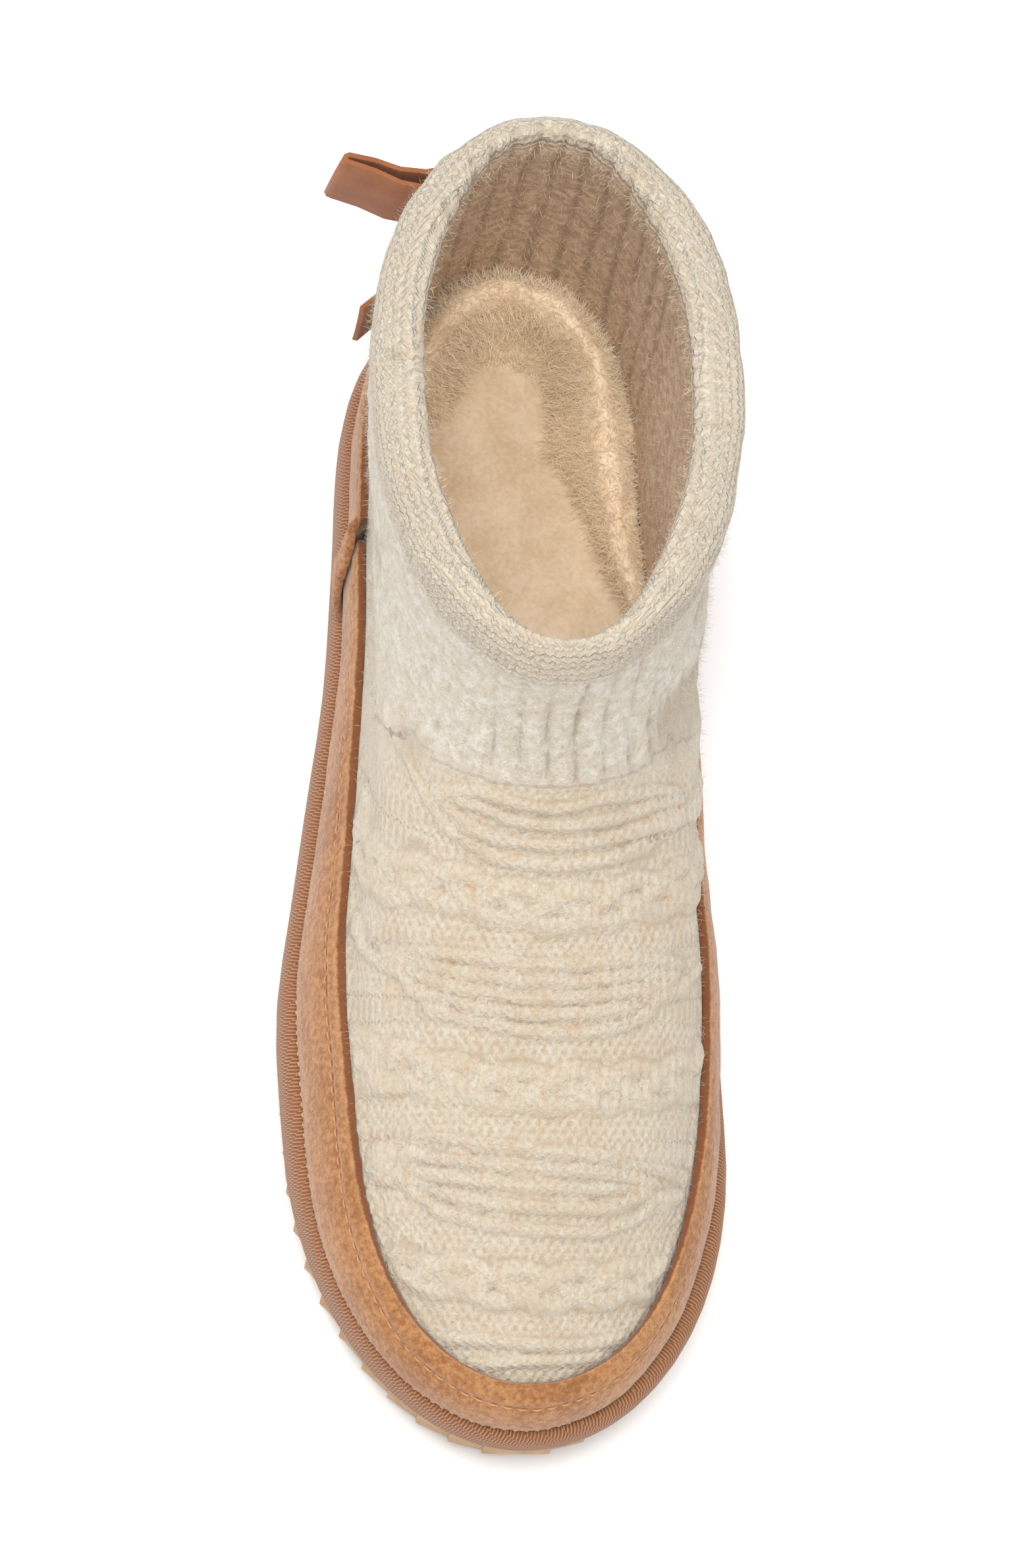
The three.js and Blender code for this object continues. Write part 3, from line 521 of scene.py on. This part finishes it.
along = np.where(on_shaft > 0.5, over_rim, round_)
# The folded hem is gathered: it swells and narrows every centimetre or so.
gathered = np.stack([girth, over_rim * 0.4, np.zeros(len(points))], axis=1)
height += on_hem * (0.45 * clouds(gathered, 8, seed=8) + 0.15 * clouds(points, 5, seed=9))

CREASES = [  # from, to, half width, depth
    ((-30, -4, 97), (36, -2, 96), 5.0, 0.9),
    ((34, -6, 110), (41, 18, 92), 8.0, 1.8),
    ((38, 20, 118), (42, 48, 112), 7.0, 1.1),
    ((-38, 34, 112), (-41, 66, 104), 7.0, 1.0),
    ((-41, 64, 151), (-31, 64, 151), 1.2, 1.6),
    ((-34, 108, 120), (-12, 128, 112), 6.0, 1.0),
]
for start, end, width, depth in CREASES:
    first, way = np.array(start, float), np.array(end, float) - np.array(start, float)
    share = np.clip((points - first) @ way / (way @ way), 0, 1)
    distance = np.linalg.norm(points - first - share[:, None] * way, axis=1)
    # The inner wall faces the other way, so it goes along with the outer one by rising.
    height -= depth * np.exp(-(distance / width) ** 2) * np.where(inside, -1.5, 1)
height += 0.35 * clouds(points, 14) + 0.22 * clouds(points, 4, seed=1)

to_trim = np.array([trim.find_nearest(Vector(p))[3] for p in points])
bare = step(to_trim, 0.5, 2.4)
# relief is also read by the wool's colour, which gets painted shade where it is low: in the grooves, the
# hollows and the creases
relief = np.clip((height + SLACK + 1.2) / 2.4, 0, 1)
lift = height * bare + 0.3 * (1 - bare)  # beside the trim the knit swells up to it
set_points(knit, points + normals * (lift * (1 - 0.5 * inside))[:, None])
below_rim = HEM_TOP - points[:, 2]
for name, values in (("relief", relief), ("across", across), ("along", along), ("strand", strand),
                     ("round", round_), ("rows", rows), ("shaft", on_shaft), ("hem", on_hem),
                     ("inner", inside * step(below_rim, 2, 9))):
    store(knit, name, values)
smooth_shading(knit)

# %% [markdown]
# ## Wool
# The yarn is oatmeal: cream with sand-coloured and grey-brown fibres. The strands show the small
# V shapes of knit stitches, the ground between them the bumps of purl stitches. Those are about
# two millimetres wide, so bump is enough for them, and it fades under the fuzz of the shaft.

# %% Wool material
STITCH = 2.4
GRAIN_ROUND, GRAIN_ALONG = 2.3, 3.4  # the ground's purl bumps, as the lengths of one repeat
TAU = 2 * math.pi


def wool_look(name):
    look = Look(name, Sheen_Weight=0.25, Sheen_Roughness=0.6, Specular_IOR_Level=0.12)
    relief, across, along = look.attribute("relief"), look.attribute("across"), look.attribute("along")
    strand, shaft, inner = look.attribute("strand"), look.attribute("shaft"), look.attribute("inner")
    hem = look.attribute("hem")
    blur = look.noise(3, detail=3)
    vee = (along / STITCH - across.size() * 0.42 + blur * 0.5) * TAU
    vee = (vee.sin() * 0.5 + 0.5) * (1 - (across.size() - 0.5).size() * 0.7)
    purl = (look.attribute("round") / GRAIN_ROUND + blur * 0.3) * TAU
    across_purl = (look.attribute("rows") / GRAIN_ALONG + blur * 0.3) * TAU
    purl = purl.sin() * across_purl.sin() * 0.5 + 0.5
    border = shaft * (1 - shaft) * 4
    stitches = (vee * 0.5 + 0.4) * strand + (purl * 0.7 + 0.2) * (1 - strand)
    stitches = stitches * (1 - border * 0.8) + border * 0.6
    fibres = look.noise(0.5, detail=5)
    lint = look.noise(0.9, detail=4, at=look.stretched(1, 0.4, 0.7), seed=3)
    fuzzy = shaft * (1 - hem) * 0.7
    tufts = look.noise(2.4, detail=5, seed=9)
    plain = (1 - fuzzy) * (1 - inner * 0.8)
    height = stitches * plain * (hem * 1.3 + 0.8) + fibres * 0.6 + lint * 0.4 + tufts * shaft * 0.7
    colour = look.mix(look.noise(0.9, detail=4).between(0.36, 0.72), CREAM, SAND)
    colour = look.mix(shaft * (1 - hem) * 0.6, colour, PALE)
    patches = look.noise(8, detail=4, seed=2).between(0.42, 0.66)
    colour = look.mix(patches * (1 - shaft) * 0.45, colour, SAND)
    flecks = look.noise(1.5, detail=5, at=look.stretched(1, 0.6, 0.7), seed=11).between(0.54, 0.7)
    colour = look.mix(flecks * (hem * 0.15 + 0.5) * (1 - fuzzy * 0.8), colour, FLECK)
    colour = look.mix(tufts.between(0.42, 0.62) * fuzzy * 0.8, colour, SNOW)
    speckle = look.noise(1.1, detail=5, at=look.stretched(1, 1, 0.5), seed=13).between(0.5, 0.68)
    colour = look.mix(speckle * shaft * 0.45, colour, SHADE)
    colour = look.mix(look.noise(0.7, detail=3, seed=7).between(0.56, 0.74) * 0.35, colour, GREYISH)
    # painted shade in the grooves, hollows and creases, where the relief is low
    hollow = 1 - relief.between(0.05, 0.42)
    # painted shade on the lower flanks of the raised strands
    flank_shade = strand * (1 - relief.between(0.5, 0.74)) * (1 - shaft)
    colour = look.mix(hollow * (shaft * 0.4 + 0.15) + flank_shade * 0.38, colour, WOOL_PAINTED_SHADE)
    # painted shade in the gaps between stitches
    between = (1 - stitches.between(0.1, 0.6)) * (hem * 0.4 + 0.35) * (1 - fuzzy)
    colour = look.mix(between, look.mix(hem * 0.4, colour, RIM), WOOL_PAINTED_SHADE)
    within = look.mix(look.noise(2, detail=5).between(0.35, 0.65), LINING_LIGHT, LINING_DARK)
    # painted shade in the hollows of the inner wall
    within = look.mix(hollow * 0.5, within, LINING_PAINTED_SHADE)
    colour = look.mix(inner, colour, within)
    return look.finish(colour, 0.95, look.bump(height, 0.8, 0.95))


CREAM, SAND, PALE = tone(193, 184, 168), tone(181, 164, 139), tone(184, 176, 162)
# the last of these is the painted shade of the grooves, the strand flanks and the gaps between stitches
FLECK, GREYISH, WOOL_PAINTED_SHADE = tone(188, 152, 115), tone(160, 143, 119), tone(140, 120, 93)
SNOW, SHADE, RIM = tone(206, 201, 192), tone(160, 146, 124), tone(208, 196, 175)
# the last of these is the painted shade of the inner wall's hollows
LINING_LIGHT, LINING_DARK, LINING_PAINTED_SHADE = tone(240, 217, 188), tone(206, 172, 136), tone(158, 124, 92)
wool = wool_look("oatmeal_wool")
add_piece(knit, wool, "knit", "knit_upper")

# %% [markdown]
# ## Lines round the boot
# The tape's weave, the seams and the stitches all run round the boot. An outline is a closed loop of
# points, and every point of a mesh gets its distance along that loop.


# %% Outlines and rows of stitches
DIRECTIONS = 240


def slots_of(points, count=DIRECTIONS):
    """Which of so many directions from the middle each point lies in."""
    turn = np.arctan2(points[:, 0] - 2, -points[:, 1] * 0.4)
    return np.floor((turn + math.pi) / TAU * count).astype(int) % count


def outermost(points, count=DIRECTIONS):
    """The outermost point in each direction, as a closed and slightly smoothed loop."""
    slots = slots_of(points, count)
    away = np.hypot(points[:, 0], points[:, 1])
    order = np.lexsort((away, slots))
    last = np.nonzero(np.diff(np.append(slots[order], count + 1)))[0]
    known, loop = slots[order][last], points[order][last]
    filled = np.stack([np.interp(np.arange(count), known, loop[:, k], period=count) for k in range(3)], 1)
    return sum(np.roll(filled, k, axis=0) for k in (-2, -1, 0, 1, 2)) / 5


def distance_round(points, loop):
    """Distance along a closed loop of the spot nearest to each point, seen from above."""
    ends = np.roll(loop, -1, axis=0)[:, :2]
    starts, ways = loop[:, :2], ends - loop[:, :2]
    lengths = np.linalg.norm(ways, axis=1)
    before = np.concatenate([[0], np.cumsum(lengths)[:-1]])
    place = np.empty(len(points))
    for first in range(0, len(points), 4000):
        part = points[first:first + 4000, None, :2] - starts
        share = np.clip((part * ways).sum(2) / lengths ** 2, 0, 1)
        away = np.linalg.norm(part - share[..., None] * ways, axis=2)
        nearest = away.argmin(axis=1)
        row = np.arange(len(nearest))
        place[first:first + 4000] = before[nearest] + share[row, nearest] * lengths[nearest]
    return place


def stitch_row(name, path, outward, cloth, pitch, length, radius):
    """A row of thread stitches along a path on cloth, each a low arch that dips in at both ends."""
    steps = np.concatenate([[0], np.cumsum(np.linalg.norm(np.diff(path, axis=0), axis=1))])
    at = lambda d, grid: np.stack([np.interp(d, steps, grid[:, k]) for k in range(3)], axis=-1)
    corners, faces, sides = [], [], 6
    for middle in np.arange(pitch / 2, steps[-1], pitch):
        if cloth.find_nearest(Vector(at(middle, path)))[3] > 0.9:
            continue
        base = len(corners)
        for i, share in enumerate((-1, -0.5, 0, 0.5, 1)):
            d = middle + share * length / 2
            centre, out = at(d, path), at(d, outward)
            centre = centre + out * radius * (0.9 - 1.5 * share * share)
            way = at(d + 0.2, path) - at(d - 0.2, path)
            way /= np.linalg.norm(way) + 1e-9
            other = np.cross(way, out)
            size = radius * (1 - 0.45 * share * share)
            for k in range(sides):
                angle = k / sides * TAU
                corners.append(centre + size * (math.cos(angle) * out + math.sin(angle) * other))
        for i in range(4):
            for k in range(sides):
                a, b = base + i * sides + k, base + i * sides + (k + 1) % sides
                faces.append((a, b, b + sides, a + sides))
        faces.append(tuple(base + k for k in reversed(range(sides))))
        faces.append(tuple(base + 4 * sides + k for k in range(sides)))
    piece = from_arrays(name, corners, faces)
    activate(piece)
    bpy.ops.object.mode_set(mode="EDIT")
    bpy.ops.mesh.select_all(action="SELECT")
    bpy.ops.mesh.normals_make_consistent(inside=False)
    bpy.ops.object.mode_set(mode="OBJECT")
    smooth_shading(piece)
    return piece


# %% [markdown]
# ## Suede
# The rand is puffy suede, stitched a few millimetres below its top edge. Its thickness shows there as
# a rough brown strip beside the knit. A copy of the CAD piece is smoothed, and a low ridge is
# raised where the stitching pulls it in.

# %% Suede pieces
SEAM_DROP = 3.6  # from the top edge down to the row of stitches
SUEDE_FACE = 0.7
knit_wall_tree = tree_of(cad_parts["knit_upper"])


def suede_copy(node, name):
    piece = copy_of(node, name)
    modify(piece, "SUBSURF", subdivision_type="SIMPLE", levels=2, render_levels=2)
    modify(piece, "REMESH", mode="VOXEL", voxel_size=SUEDE_FACE * MM)
    modify(piece, "SMOOTH", factor=0.5, iterations=4)
    points, normals = points_of(piece), normals_of(piece)
    slots = slots_of(points)
    top = np.full(DIRECTIONS, -1e9)
    np.maximum.at(top, slots, points[:, 2])
    known = np.nonzero(top > -1e8)[0]
    top = np.interp(np.arange(DIRECTIONS), known, top[known], period=DIRECTIONS)
    top = sum(np.roll(top, k) for k in (-2, -1, 0, 1, 2)) / 5
    below = top[slots] - points[:, 2]
    away = np.array([knit_wall_tree.find_nearest(Vector(p))[3] for p in points])
    facing = step(-facing_in(points, normals), -0.1, 0.3)
    ridge = 0.4 * np.exp(-((below - SEAM_DROP + 1.3) / 0.9) ** 2)
    trough = 0.45 * np.exp(-((below - SEAM_DROP) / 0.6) ** 2)
    lumps = 0.22 * clouds(points, 9) + 0.08 * clouds(points, 3, seed=2)
    rough = 0.16 * clouds(points, 1.6, seed=4) * (below < 1.5)
    to_knit = 0.35 * (1 - step(away, 0.4, 1.3)) * (1 - step(below, 3, 6))  # closes the gap beside the knit
    moved = (ridge - trough + lumps + rough) * facing + to_knit * (1 - facing)
    set_points(piece, points + normals * moved[:, None])
    store(piece, "below", below)
    store(piece, "away", away)
    smooth_shading(piece)
    return piece


def suede_look(name):
    look = Look(name, Sheen_Weight=0.3, Sheen_Roughness=0.45, Specular_IOR_Level=0.15)
    below, away = look.attribute("below"), look.attribute("away")
    ragged = (look.noise(0.9, detail=4) - 0.5) * 0.9
    brushed = look.noise(16, detail=3)
    nap = look.noise(1.3, detail=6, seed=4)
    grain = look.noise(0.45, detail=3, seed=5)
    colour = look.mix((brushed * 0.35 + nap * 0.65).between(0.36, 0.64), TAN, CHESTNUT)
    colour = look.mix(grain.between(0.48, 0.7) * 0.5, colour, BARK)
    lip = (1 - (away + ragged * 0.5 - 2.3).size().between(0.1, 0.45)) * (1 - below.between(1.2, 2.0))
    colour = look.mix(lip * 0.25, colour, PEACH)
    raw = (1 - (away + ragged).between(1.9, 2.4)) * (1 - below.between(1.5, 3.0))
    colour = look.mix(raw * 0.85, colour, RUST)
    rough = look.noise(0.35, detail=4, seed=6)
    height = nap * 0.4 + grain * 0.5 + rough * 0.4
    return look.finish(colour, 0.92, look.bump(height, 0.5, 1.0))


TAN, CHESTNUT, BARK = tone(174, 126, 84), tone(138, 91, 54), tone(114, 71, 40)
PEACH, RUST = tone(196, 152, 116), tone(112, 66, 40)
suede = suede_look("chestnut_suede")
rand = suede_copy("rand", "rand_suede")
add_piece(rand, suede, "suede", "rand")
counter = suede_copy("heel_counter", "heel_counter_suede")
add_piece(counter, suede, "suede", "heel_counter")

# %% [markdown]
# ## Twill tape round the platform
# The side of the midsole is wrapped in a woven tape. A copy of the midsole carries the distance round
# the sole and the height, and the weave is drawn along them, so that its diagonal runs on
# evenly round the toe.

# %% Tape
TAPE_FACE = 1.0
tape = copy_of("midsole", "midsole_tape")
modify(tape, "SUBSURF", subdivision_type="SIMPLE", levels=1, render_levels=1)
modify(tape, "REMESH", mode="VOXEL", voxel_size=TAPE_FACE * MM)
modify(tape, "SMOOTH", factor=0.5, iterations=8)
tape_points = points_of(tape)
tape_loop = outermost(tape_points)
store(tape, "round", distance_round(tape_points, tape_loop))
smooth_shading(tape)
WALE, WALE_SLOPE, TICK = 2.4, 0.55, 0.85


def twill_look(name):
    look = Look(name, Sheen_Weight=0.15, Sheen_Roughness=0.5, Specular_IOR_Level=0.15)
    round_ = look.attribute("round")
    high = look.node("ShaderNodeSeparateXYZ", {}, {0: look.place}, out="Z") / MM
    uneven = look.noise(2.0, detail=2) * 0.22
    line = (high + round_ * WALE_SLOPE) / WALE + uneven
    wale = (line * TAU).sin() * 0.5 + 0.5
    stagger = line.maths("FLOOR") * 0.5  # each line's ticks lie between those of the line beside it
    tick = (((round_ - high * 0.35) / TICK + stagger + uneven) * TAU).sin() * 0.5 + 0.5
    weave = (wale.between(0.0, 0.6) * 0.4 + 0.6) * tick.between(0.1, 0.8)
    threads = look.noise(0.4, detail=3, seed=2)
    colour = look.mix(weave.between(0.1, 0.8), TWILL_DARK, TWILL_LIGHT)
    colour = look.mix(look.noise(9, detail=4).between(0.35, 0.7) * 0.25, colour, TWILL_MID)
    return look.finish(colour, 0.85, look.bump(weave + threads * 0.2, 0.35, 1.0))


TWILL_DARK, TWILL_MID, TWILL_LIGHT = tone(124, 78, 50), tone(146, 98, 67), tone(174, 124, 88)
add_piece(tape, twill_look("brown_twill"), "midsole", "midsole")

# %% [markdown]
# Two rows of stitches are modelled: small pale ones where the suede meets the tape, and the seam
# below the rand's top edge, whose thread has the colour of the suede.

# %% Stitches
def thread_look(name, colour):
    look = Look(name, Specular_IOR_Level=0.3)
    twist = look.noise(0.5, detail=2)
    shaded = tuple(0.8 * c for c in colour[:3]) + (1,)
    return look.finish(look.mix(twist, colour, shaded), 0.7, look.bump(twist, 0.1))


rand_points, rand_tree = points_of(rand), tree_of(rand)
rand_below = np.empty(len(rand_points), np.float32)
rand.data.attributes["below"].data.foreach_get("value", rand_below)
outer = -facing_in(rand_points, normals_of(rand)) > 0.3
slots = slots_of(rand_points)
lowest = np.full(DIRECTIONS, 1e9)
np.minimum.at(lowest, slots, rand_points[:, 2])
foot = outer & (rand_points[:, 2] - lowest[slots] < 1.6)
seam = outer & (np.abs(rand_below - SEAM_DROP) < 0.5)
ROWS = [
    ("rand_foot_stitches", foot, 2.4, 1.3, 0.22, tone(214, 176, 128), 0.5),
    ("rand_seam_stitches", seam, 3.2, 2.3, 0.26, tone(190, 140, 98), 0.1),
]
for name, chosen, pitch, length, radius, colour, lift in ROWS:
    loop = outermost(rand_points[chosen])
    front_part = loop[:, 1] < rand_points[:, 1].max() - 14
    start = int(np.argmin(np.where(front_part, 1, 0)))
    order = np.roll(np.arange(len(loop)), -start)
    order = order[front_part[order]]
    line = loop[order]
    away = line[:, :2] - np.stack([np.full(len(line), 2.0), np.clip(line[:, 1], -60, 80)], 1)
    away /= np.linalg.norm(away, axis=1)[:, None]
    outward = np.column_stack([away * 0.8, np.full(len(line), 0.6)])
    thread = stitch_row(name, line + outward * lift, outward, rand_tree, pitch, length, radius)
    add_piece(thread, thread_look(name + "_thread", colour), "suede")

# %% [markdown]
# ## Outsole
# The moulded outsole keeps its CAD shape, teeth and all. It only needs the tan rubber, slightly
# mottled and finely pitted.


# %% Outsole
def rubber_look(name):
    look = Look(name, Specular_IOR_Level=0.35)
    colour = look.mix(look.noise(6, detail=5).between(0.3, 0.7), tone(180, 148, 116), tone(164, 132, 100))
    roughness = look.noise(3, detail=3) * 0.2 + 0.6
    return look.finish(colour, roughness, look.bump(look.noise(0.5, detail=3), 0.12))


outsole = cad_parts["outsole"]
outsole.data.materials.clear()
outsole.data.materials.append(rubber_look("tan_rubber"))

# %% [markdown]
# ## Insole and fluffy lining
# The insole has a short plush pile, soft to the eye and nearly flat. Round the heel and down the
# inner side lies a thick fluffy lining. It grows out of the knit's inner wall: its faces are
# copied, thickened most at the bottom, and worked into soft clumps.


# %% Insole
def plush_look(name, light, dark, depth):
    look = Look(name, Sheen_Weight=0.4, Sheen_Roughness=0.5, Specular_IOR_Level=0.1)
    soft = look.noise(11, detail=4)
    pile = look.noise(1.1, detail=6, seed=2)
    fibres = look.noise(0.4, detail=4, at=look.stretched(0.35, 1, 1), seed=3)
    colour = look.mix((soft * 0.6 + pile * 0.4).between(0.36, 0.66), light, dark)
    return look.finish(colour, 0.95, look.bump(pile * 0.6 + fibres * 0.4, depth, 0.7))


INSOLE_FACE = 1.4
insole = copy_of("insole", "insole_plush")
modify(insole, "SUBSURF", levels=2, render_levels=2)
modify(insole, "REMESH", mode="VOXEL", voxel_size=INSOLE_FACE * MM)
points, normals = points_of(insole), normals_of(insole)
upward = step(normals[:, 2], 0.3, 0.8)
SEAM_PEAK, SEAM_SPREAD = (4.5, 98), 4.1  # a curve across the heel, highest at the peak
from_peak = (points[:, 0] - SEAM_PEAK[0]) / SEAM_SPREAD
from_seam = (points[:, 1] - SEAM_PEAK[1] + from_peak ** 2) / np.hypot(1, 2 * from_peak / SEAM_SPREAD)
seam = 0.4 * np.exp(-(from_seam / 0.9) ** 2)
swell = 0.5 * clouds(points, 30) + 0.25 * clouds(points, 8, seed=1)
set_points(insole, points + normals * ((swell - seam) * upward)[:, None])
smooth_shading(insole)
pile = plush_look("insole_pile", tone(228, 208, 181), tone(208, 184, 152), 0.4)
add_piece(insole, pile, "insole", "insole")

# %% Fluffy lining
FLUFF_TOP = [(48, 44), (60, 47), (82, 51), (99, 56), (106, 59), (116, 61), (135, 61)]
FLUFF_FOOT = [(48, 3), (65, 6), (75, 9), (84, 14), (100, 18), (118, 13), (135, 13)]
FLUFF_FACE = 1.3
FLUFF_FROM, FLUFF_BOTTOM = 48, 38  # where along the boot it starts, and how low its faces begin
FLUFF_CREST = 7.0
THICKEST = 20
CREST_RISE = 5.5  # how much higher the free edge stands than the lining does at the wall


def at_y(table, points):
    """Reads a table of rows (place along the boot, value) at each point."""
    return np.interp(points[:, 1], *np.array(table, float).T)


fluff = copy_of("knit_upper", "heel_lining_fluff")
modify(fluff, "SUBSURF", levels=2, render_levels=2)
points = points_of(fluff)
tops = at_y(FLUFF_TOP, points)
keep = (facing_in(points, normals_of(fluff)) > 0.1) & (points[:, 2] < tops)
keep &= points[:, 2] > FLUFF_BOTTOM
keep &= points[:, 1] > FLUFF_FROM + 50 * step(-points[:, 0], 4, 18)
activate(fluff)
bpy.ops.object.mode_set(mode="EDIT")
bpy.ops.mesh.select_mode(type="VERT")
bpy.ops.mesh.select_all(action="DESELECT")
bpy.ops.object.mode_set(mode="OBJECT")
fluff.data.vertices.foreach_set("select", ~keep)
bpy.ops.object.mode_set(mode="EDIT")
bpy.ops.mesh.delete(type="VERT")
bpy.ops.object.mode_set(mode="OBJECT")
points = points_of(fluff)
tops = at_y(FLUFF_TOP, points)
foot = at_y(FLUFF_FOOT, points)
rise = np.clip((points[:, 2] - 42) / (tops - 42), 0, 1)
outer_end = step(-points[:, 0], 2, 14) * (1 - step(points[:, 1], 96, 112))
thick = (foot + (np.minimum(FLUFF_CREST, foot) - foot) * rise) * (1 - 0.8 * outer_end)
thick = np.clip(thick, 1.5, THICKEST)
weights = fluff.vertex_groups.new(name="thick")
for i, value in enumerate(thick / THICKEST):
    weights.add([i], float(value), "REPLACE")
modify(fluff, "SOLIDIFY", thickness=THICKEST * MM, offset=1, vertex_group="thick", use_rim=True)
modify(fluff, "REMESH", mode="VOXEL", voxel_size=FLUFF_FACE * MM)
modify(fluff, "SMOOTH", factor=0.8, iterations=8)
points = points_of(fluff)
tops = at_y(FLUFF_TOP, points)
from_wall = np.array([knit_wall_tree.find_nearest(Vector(p))[3] for p in points])
rise = step(from_wall, 1.5, 6) * step(points[:, 2] - tops, -16, 0)
rise *= 0.5 + 0.5 * step(points[:, 1], 70, 105)
points[:, 2] += CREST_RISE * rise
set_points(fluff, points)
points, normals = points_of(fluff), normals_of(fluff)
turn = np.arctan2(points[:, 0] - 3, points[:, 1] - 70)
combed = np.stack([turn * 5, points[:, 2], points[:, 1] * 0.2], axis=1)
clumps = 1.3 * clouds(points, 11) + 1.2 * clouds(combed, 4, seed=3) + 0.6 * clouds(points, 3, seed=6)
set_points(fluff, points + normals * clumps[:, None])
smooth_shading(fluff)
lining = plush_look("lining_pile", tone(253, 239, 214), tone(246, 220, 184), 1.0)
add_piece(fluff, lining, "insole")

# %% [markdown]
# ## Leather strap and patch
# Both are cut from the same reddish-brown leather, smooth side out.


# %% Strap and patch
def leather_look(name):
    look = Look(name, Specular_IOR_Level=0.3, Sheen_Weight=0.1)
    fine = look.noise(0.7, detail=5)
    colour = look.mix(look.noise(8, detail=4).between(0.3, 0.7), tone(148, 93, 58), tone(134, 81, 49))
    colour = look.mix(fine.between(0.5, 0.7) * 0.35, colour, tone(118, 74, 47))
    return look.finish(colour, 0.8, look.bump(fine, 0.15, 0.7))


leather = leather_look("brown_leather")
for node, name in (("pull_loop", "pull_loop_leather"), ("heel_patch", "heel_patch_leather")):
    strap = copy_of(node, name)
    modify(strap, "BEVEL", width=0.25 * MM, segments=2, limit_method="ANGLE", angle_limit=math.radians(50))
    smooth_shading(strap, 40)
    add_piece(strap, leather, "strap", node)

# %% [markdown]
# ## Fuzz
# Wool is hairy, and so is the fluffy lining. Each hair is a thin closed spike with one bend: a root,
# three points halfway and a tip. They are spread evenly over the faces that are chosen.


# %% Hairs
def hairs(name, piece, count, length, chosen, spread, thin, seed):
    """Bent hairs on the chosen points' faces; spread is how far they lean along the surface."""
    dice = np.random.default_rng(seed)
    points, normals = points_of(piece), normals_of(piece)
    piece.data.calc_loop_triangles()
    triangles = np.empty(len(piece.data.loop_triangles) * 3, np.int32)
    piece.data.loop_triangles.foreach_get("vertices", triangles)
    triangles = triangles.reshape(-1, 3)
    a, b, c = (points[triangles[:, k]] for k in range(3))
    weight = np.linalg.norm(np.cross(b - a, c - a), axis=1) * chosen[triangles].mean(axis=1)
    picked = dice.choice(len(triangles), count, p=weight / weight.sum())
    u, v = dice.random((2, count, 1))
    u, v = np.where(u + v > 1, 1 - u, u), np.where(u + v > 1, 1 - v, v)
    root = a[picked] + u * (b - a)[picked] + v * (c - a)[picked]
    upright = normals[triangles[picked]].mean(axis=1)
    lean = dice.normal(size=(count, 3))
    first = upright + lean * spread
    first /= np.linalg.norm(first, axis=1)[:, None]
    second = first + dice.normal(size=(count, 3)) * 0.6
    second /= np.linalg.norm(second, axis=1)[:, None]
    reach = length * dice.uniform(0.5, 1.3, (count, 1))
    root = root - upright * 0.3
    middle = root + first * reach * 0.5
    tip = middle + second * reach * 0.5
    side = np.cross(first, np.array([0.3, 0.5, 0.8]))
    side /= np.linalg.norm(side, axis=1)[:, None] + 1e-9
    other = np.cross(first, side)
    ring = [middle + thin * (math.cos(k) * side + math.sin(k) * other) for k in (0, TAU / 3, TAU * 2 / 3)]
    corners = np.stack([root, *ring, tip], axis=1).reshape(-1, 3)
    pattern = np.array([(0, 2, 1), (0, 3, 2), (0, 1, 3), (4, 1, 2), (4, 2, 3), (4, 3, 1)])
    faces = (np.arange(count)[:, None, None] * 5 + pattern).reshape(-1, 3)
    fuzz = from_arrays(name, corners, faces)
    store(fuzz, "tint", np.repeat(dice.random(count), 5))
    return fuzz


def hair_look(name, light, dark):
    look = Look(name, Sheen_Weight=0.3, Specular_IOR_Level=0.2)
    return look.finish(look.mix(look.attribute("tint") ** 2, light, dark), 0.8)


points = points_of(knit)
values = {}
for key in ("shaft", "hem", "inner"):
    values[key] = np.empty(len(points), np.float32)
    knit.data.attributes[key].data.foreach_get("value", values[key])
outside = (facing_in(points, normals_of(knit)) < 0.1) | (values["hem"] > 0.5)
share = outside * (0.5 + 0.5 * values["shaft"]) * (1 - 0.3 * values["hem"])
wool_fuzz = hairs("knit_fuzz", knit, 24000, 2.6, share, 0.9, 0.035, seed=1)
add_piece(wool_fuzz, hair_look("wool_hair", tone(196, 188, 173), tone(166, 148, 122)), "knit")
within = (values["inner"] > 0.5) & (points[:, 2] > 60)
inner_fuzz = hairs("inner_fuzz", knit, 16000, 3.0, within.astype(float), 1.0, 0.06, seed=2)
add_piece(inner_fuzz, hair_look("inner_hair", tone(226, 208, 182), tone(170, 146, 118)), "knit")
everywhere = np.ones(len(points_of(fluff)))
lining_fuzz = hairs("lining_fuzz", fluff, 22000, 5.0, everywhere, 0.65, 0.07, seed=3)
add_piece(lining_fuzz, hair_look("lining_hair", tone(252, 238, 212), tone(240, 214, 178)), "insole")
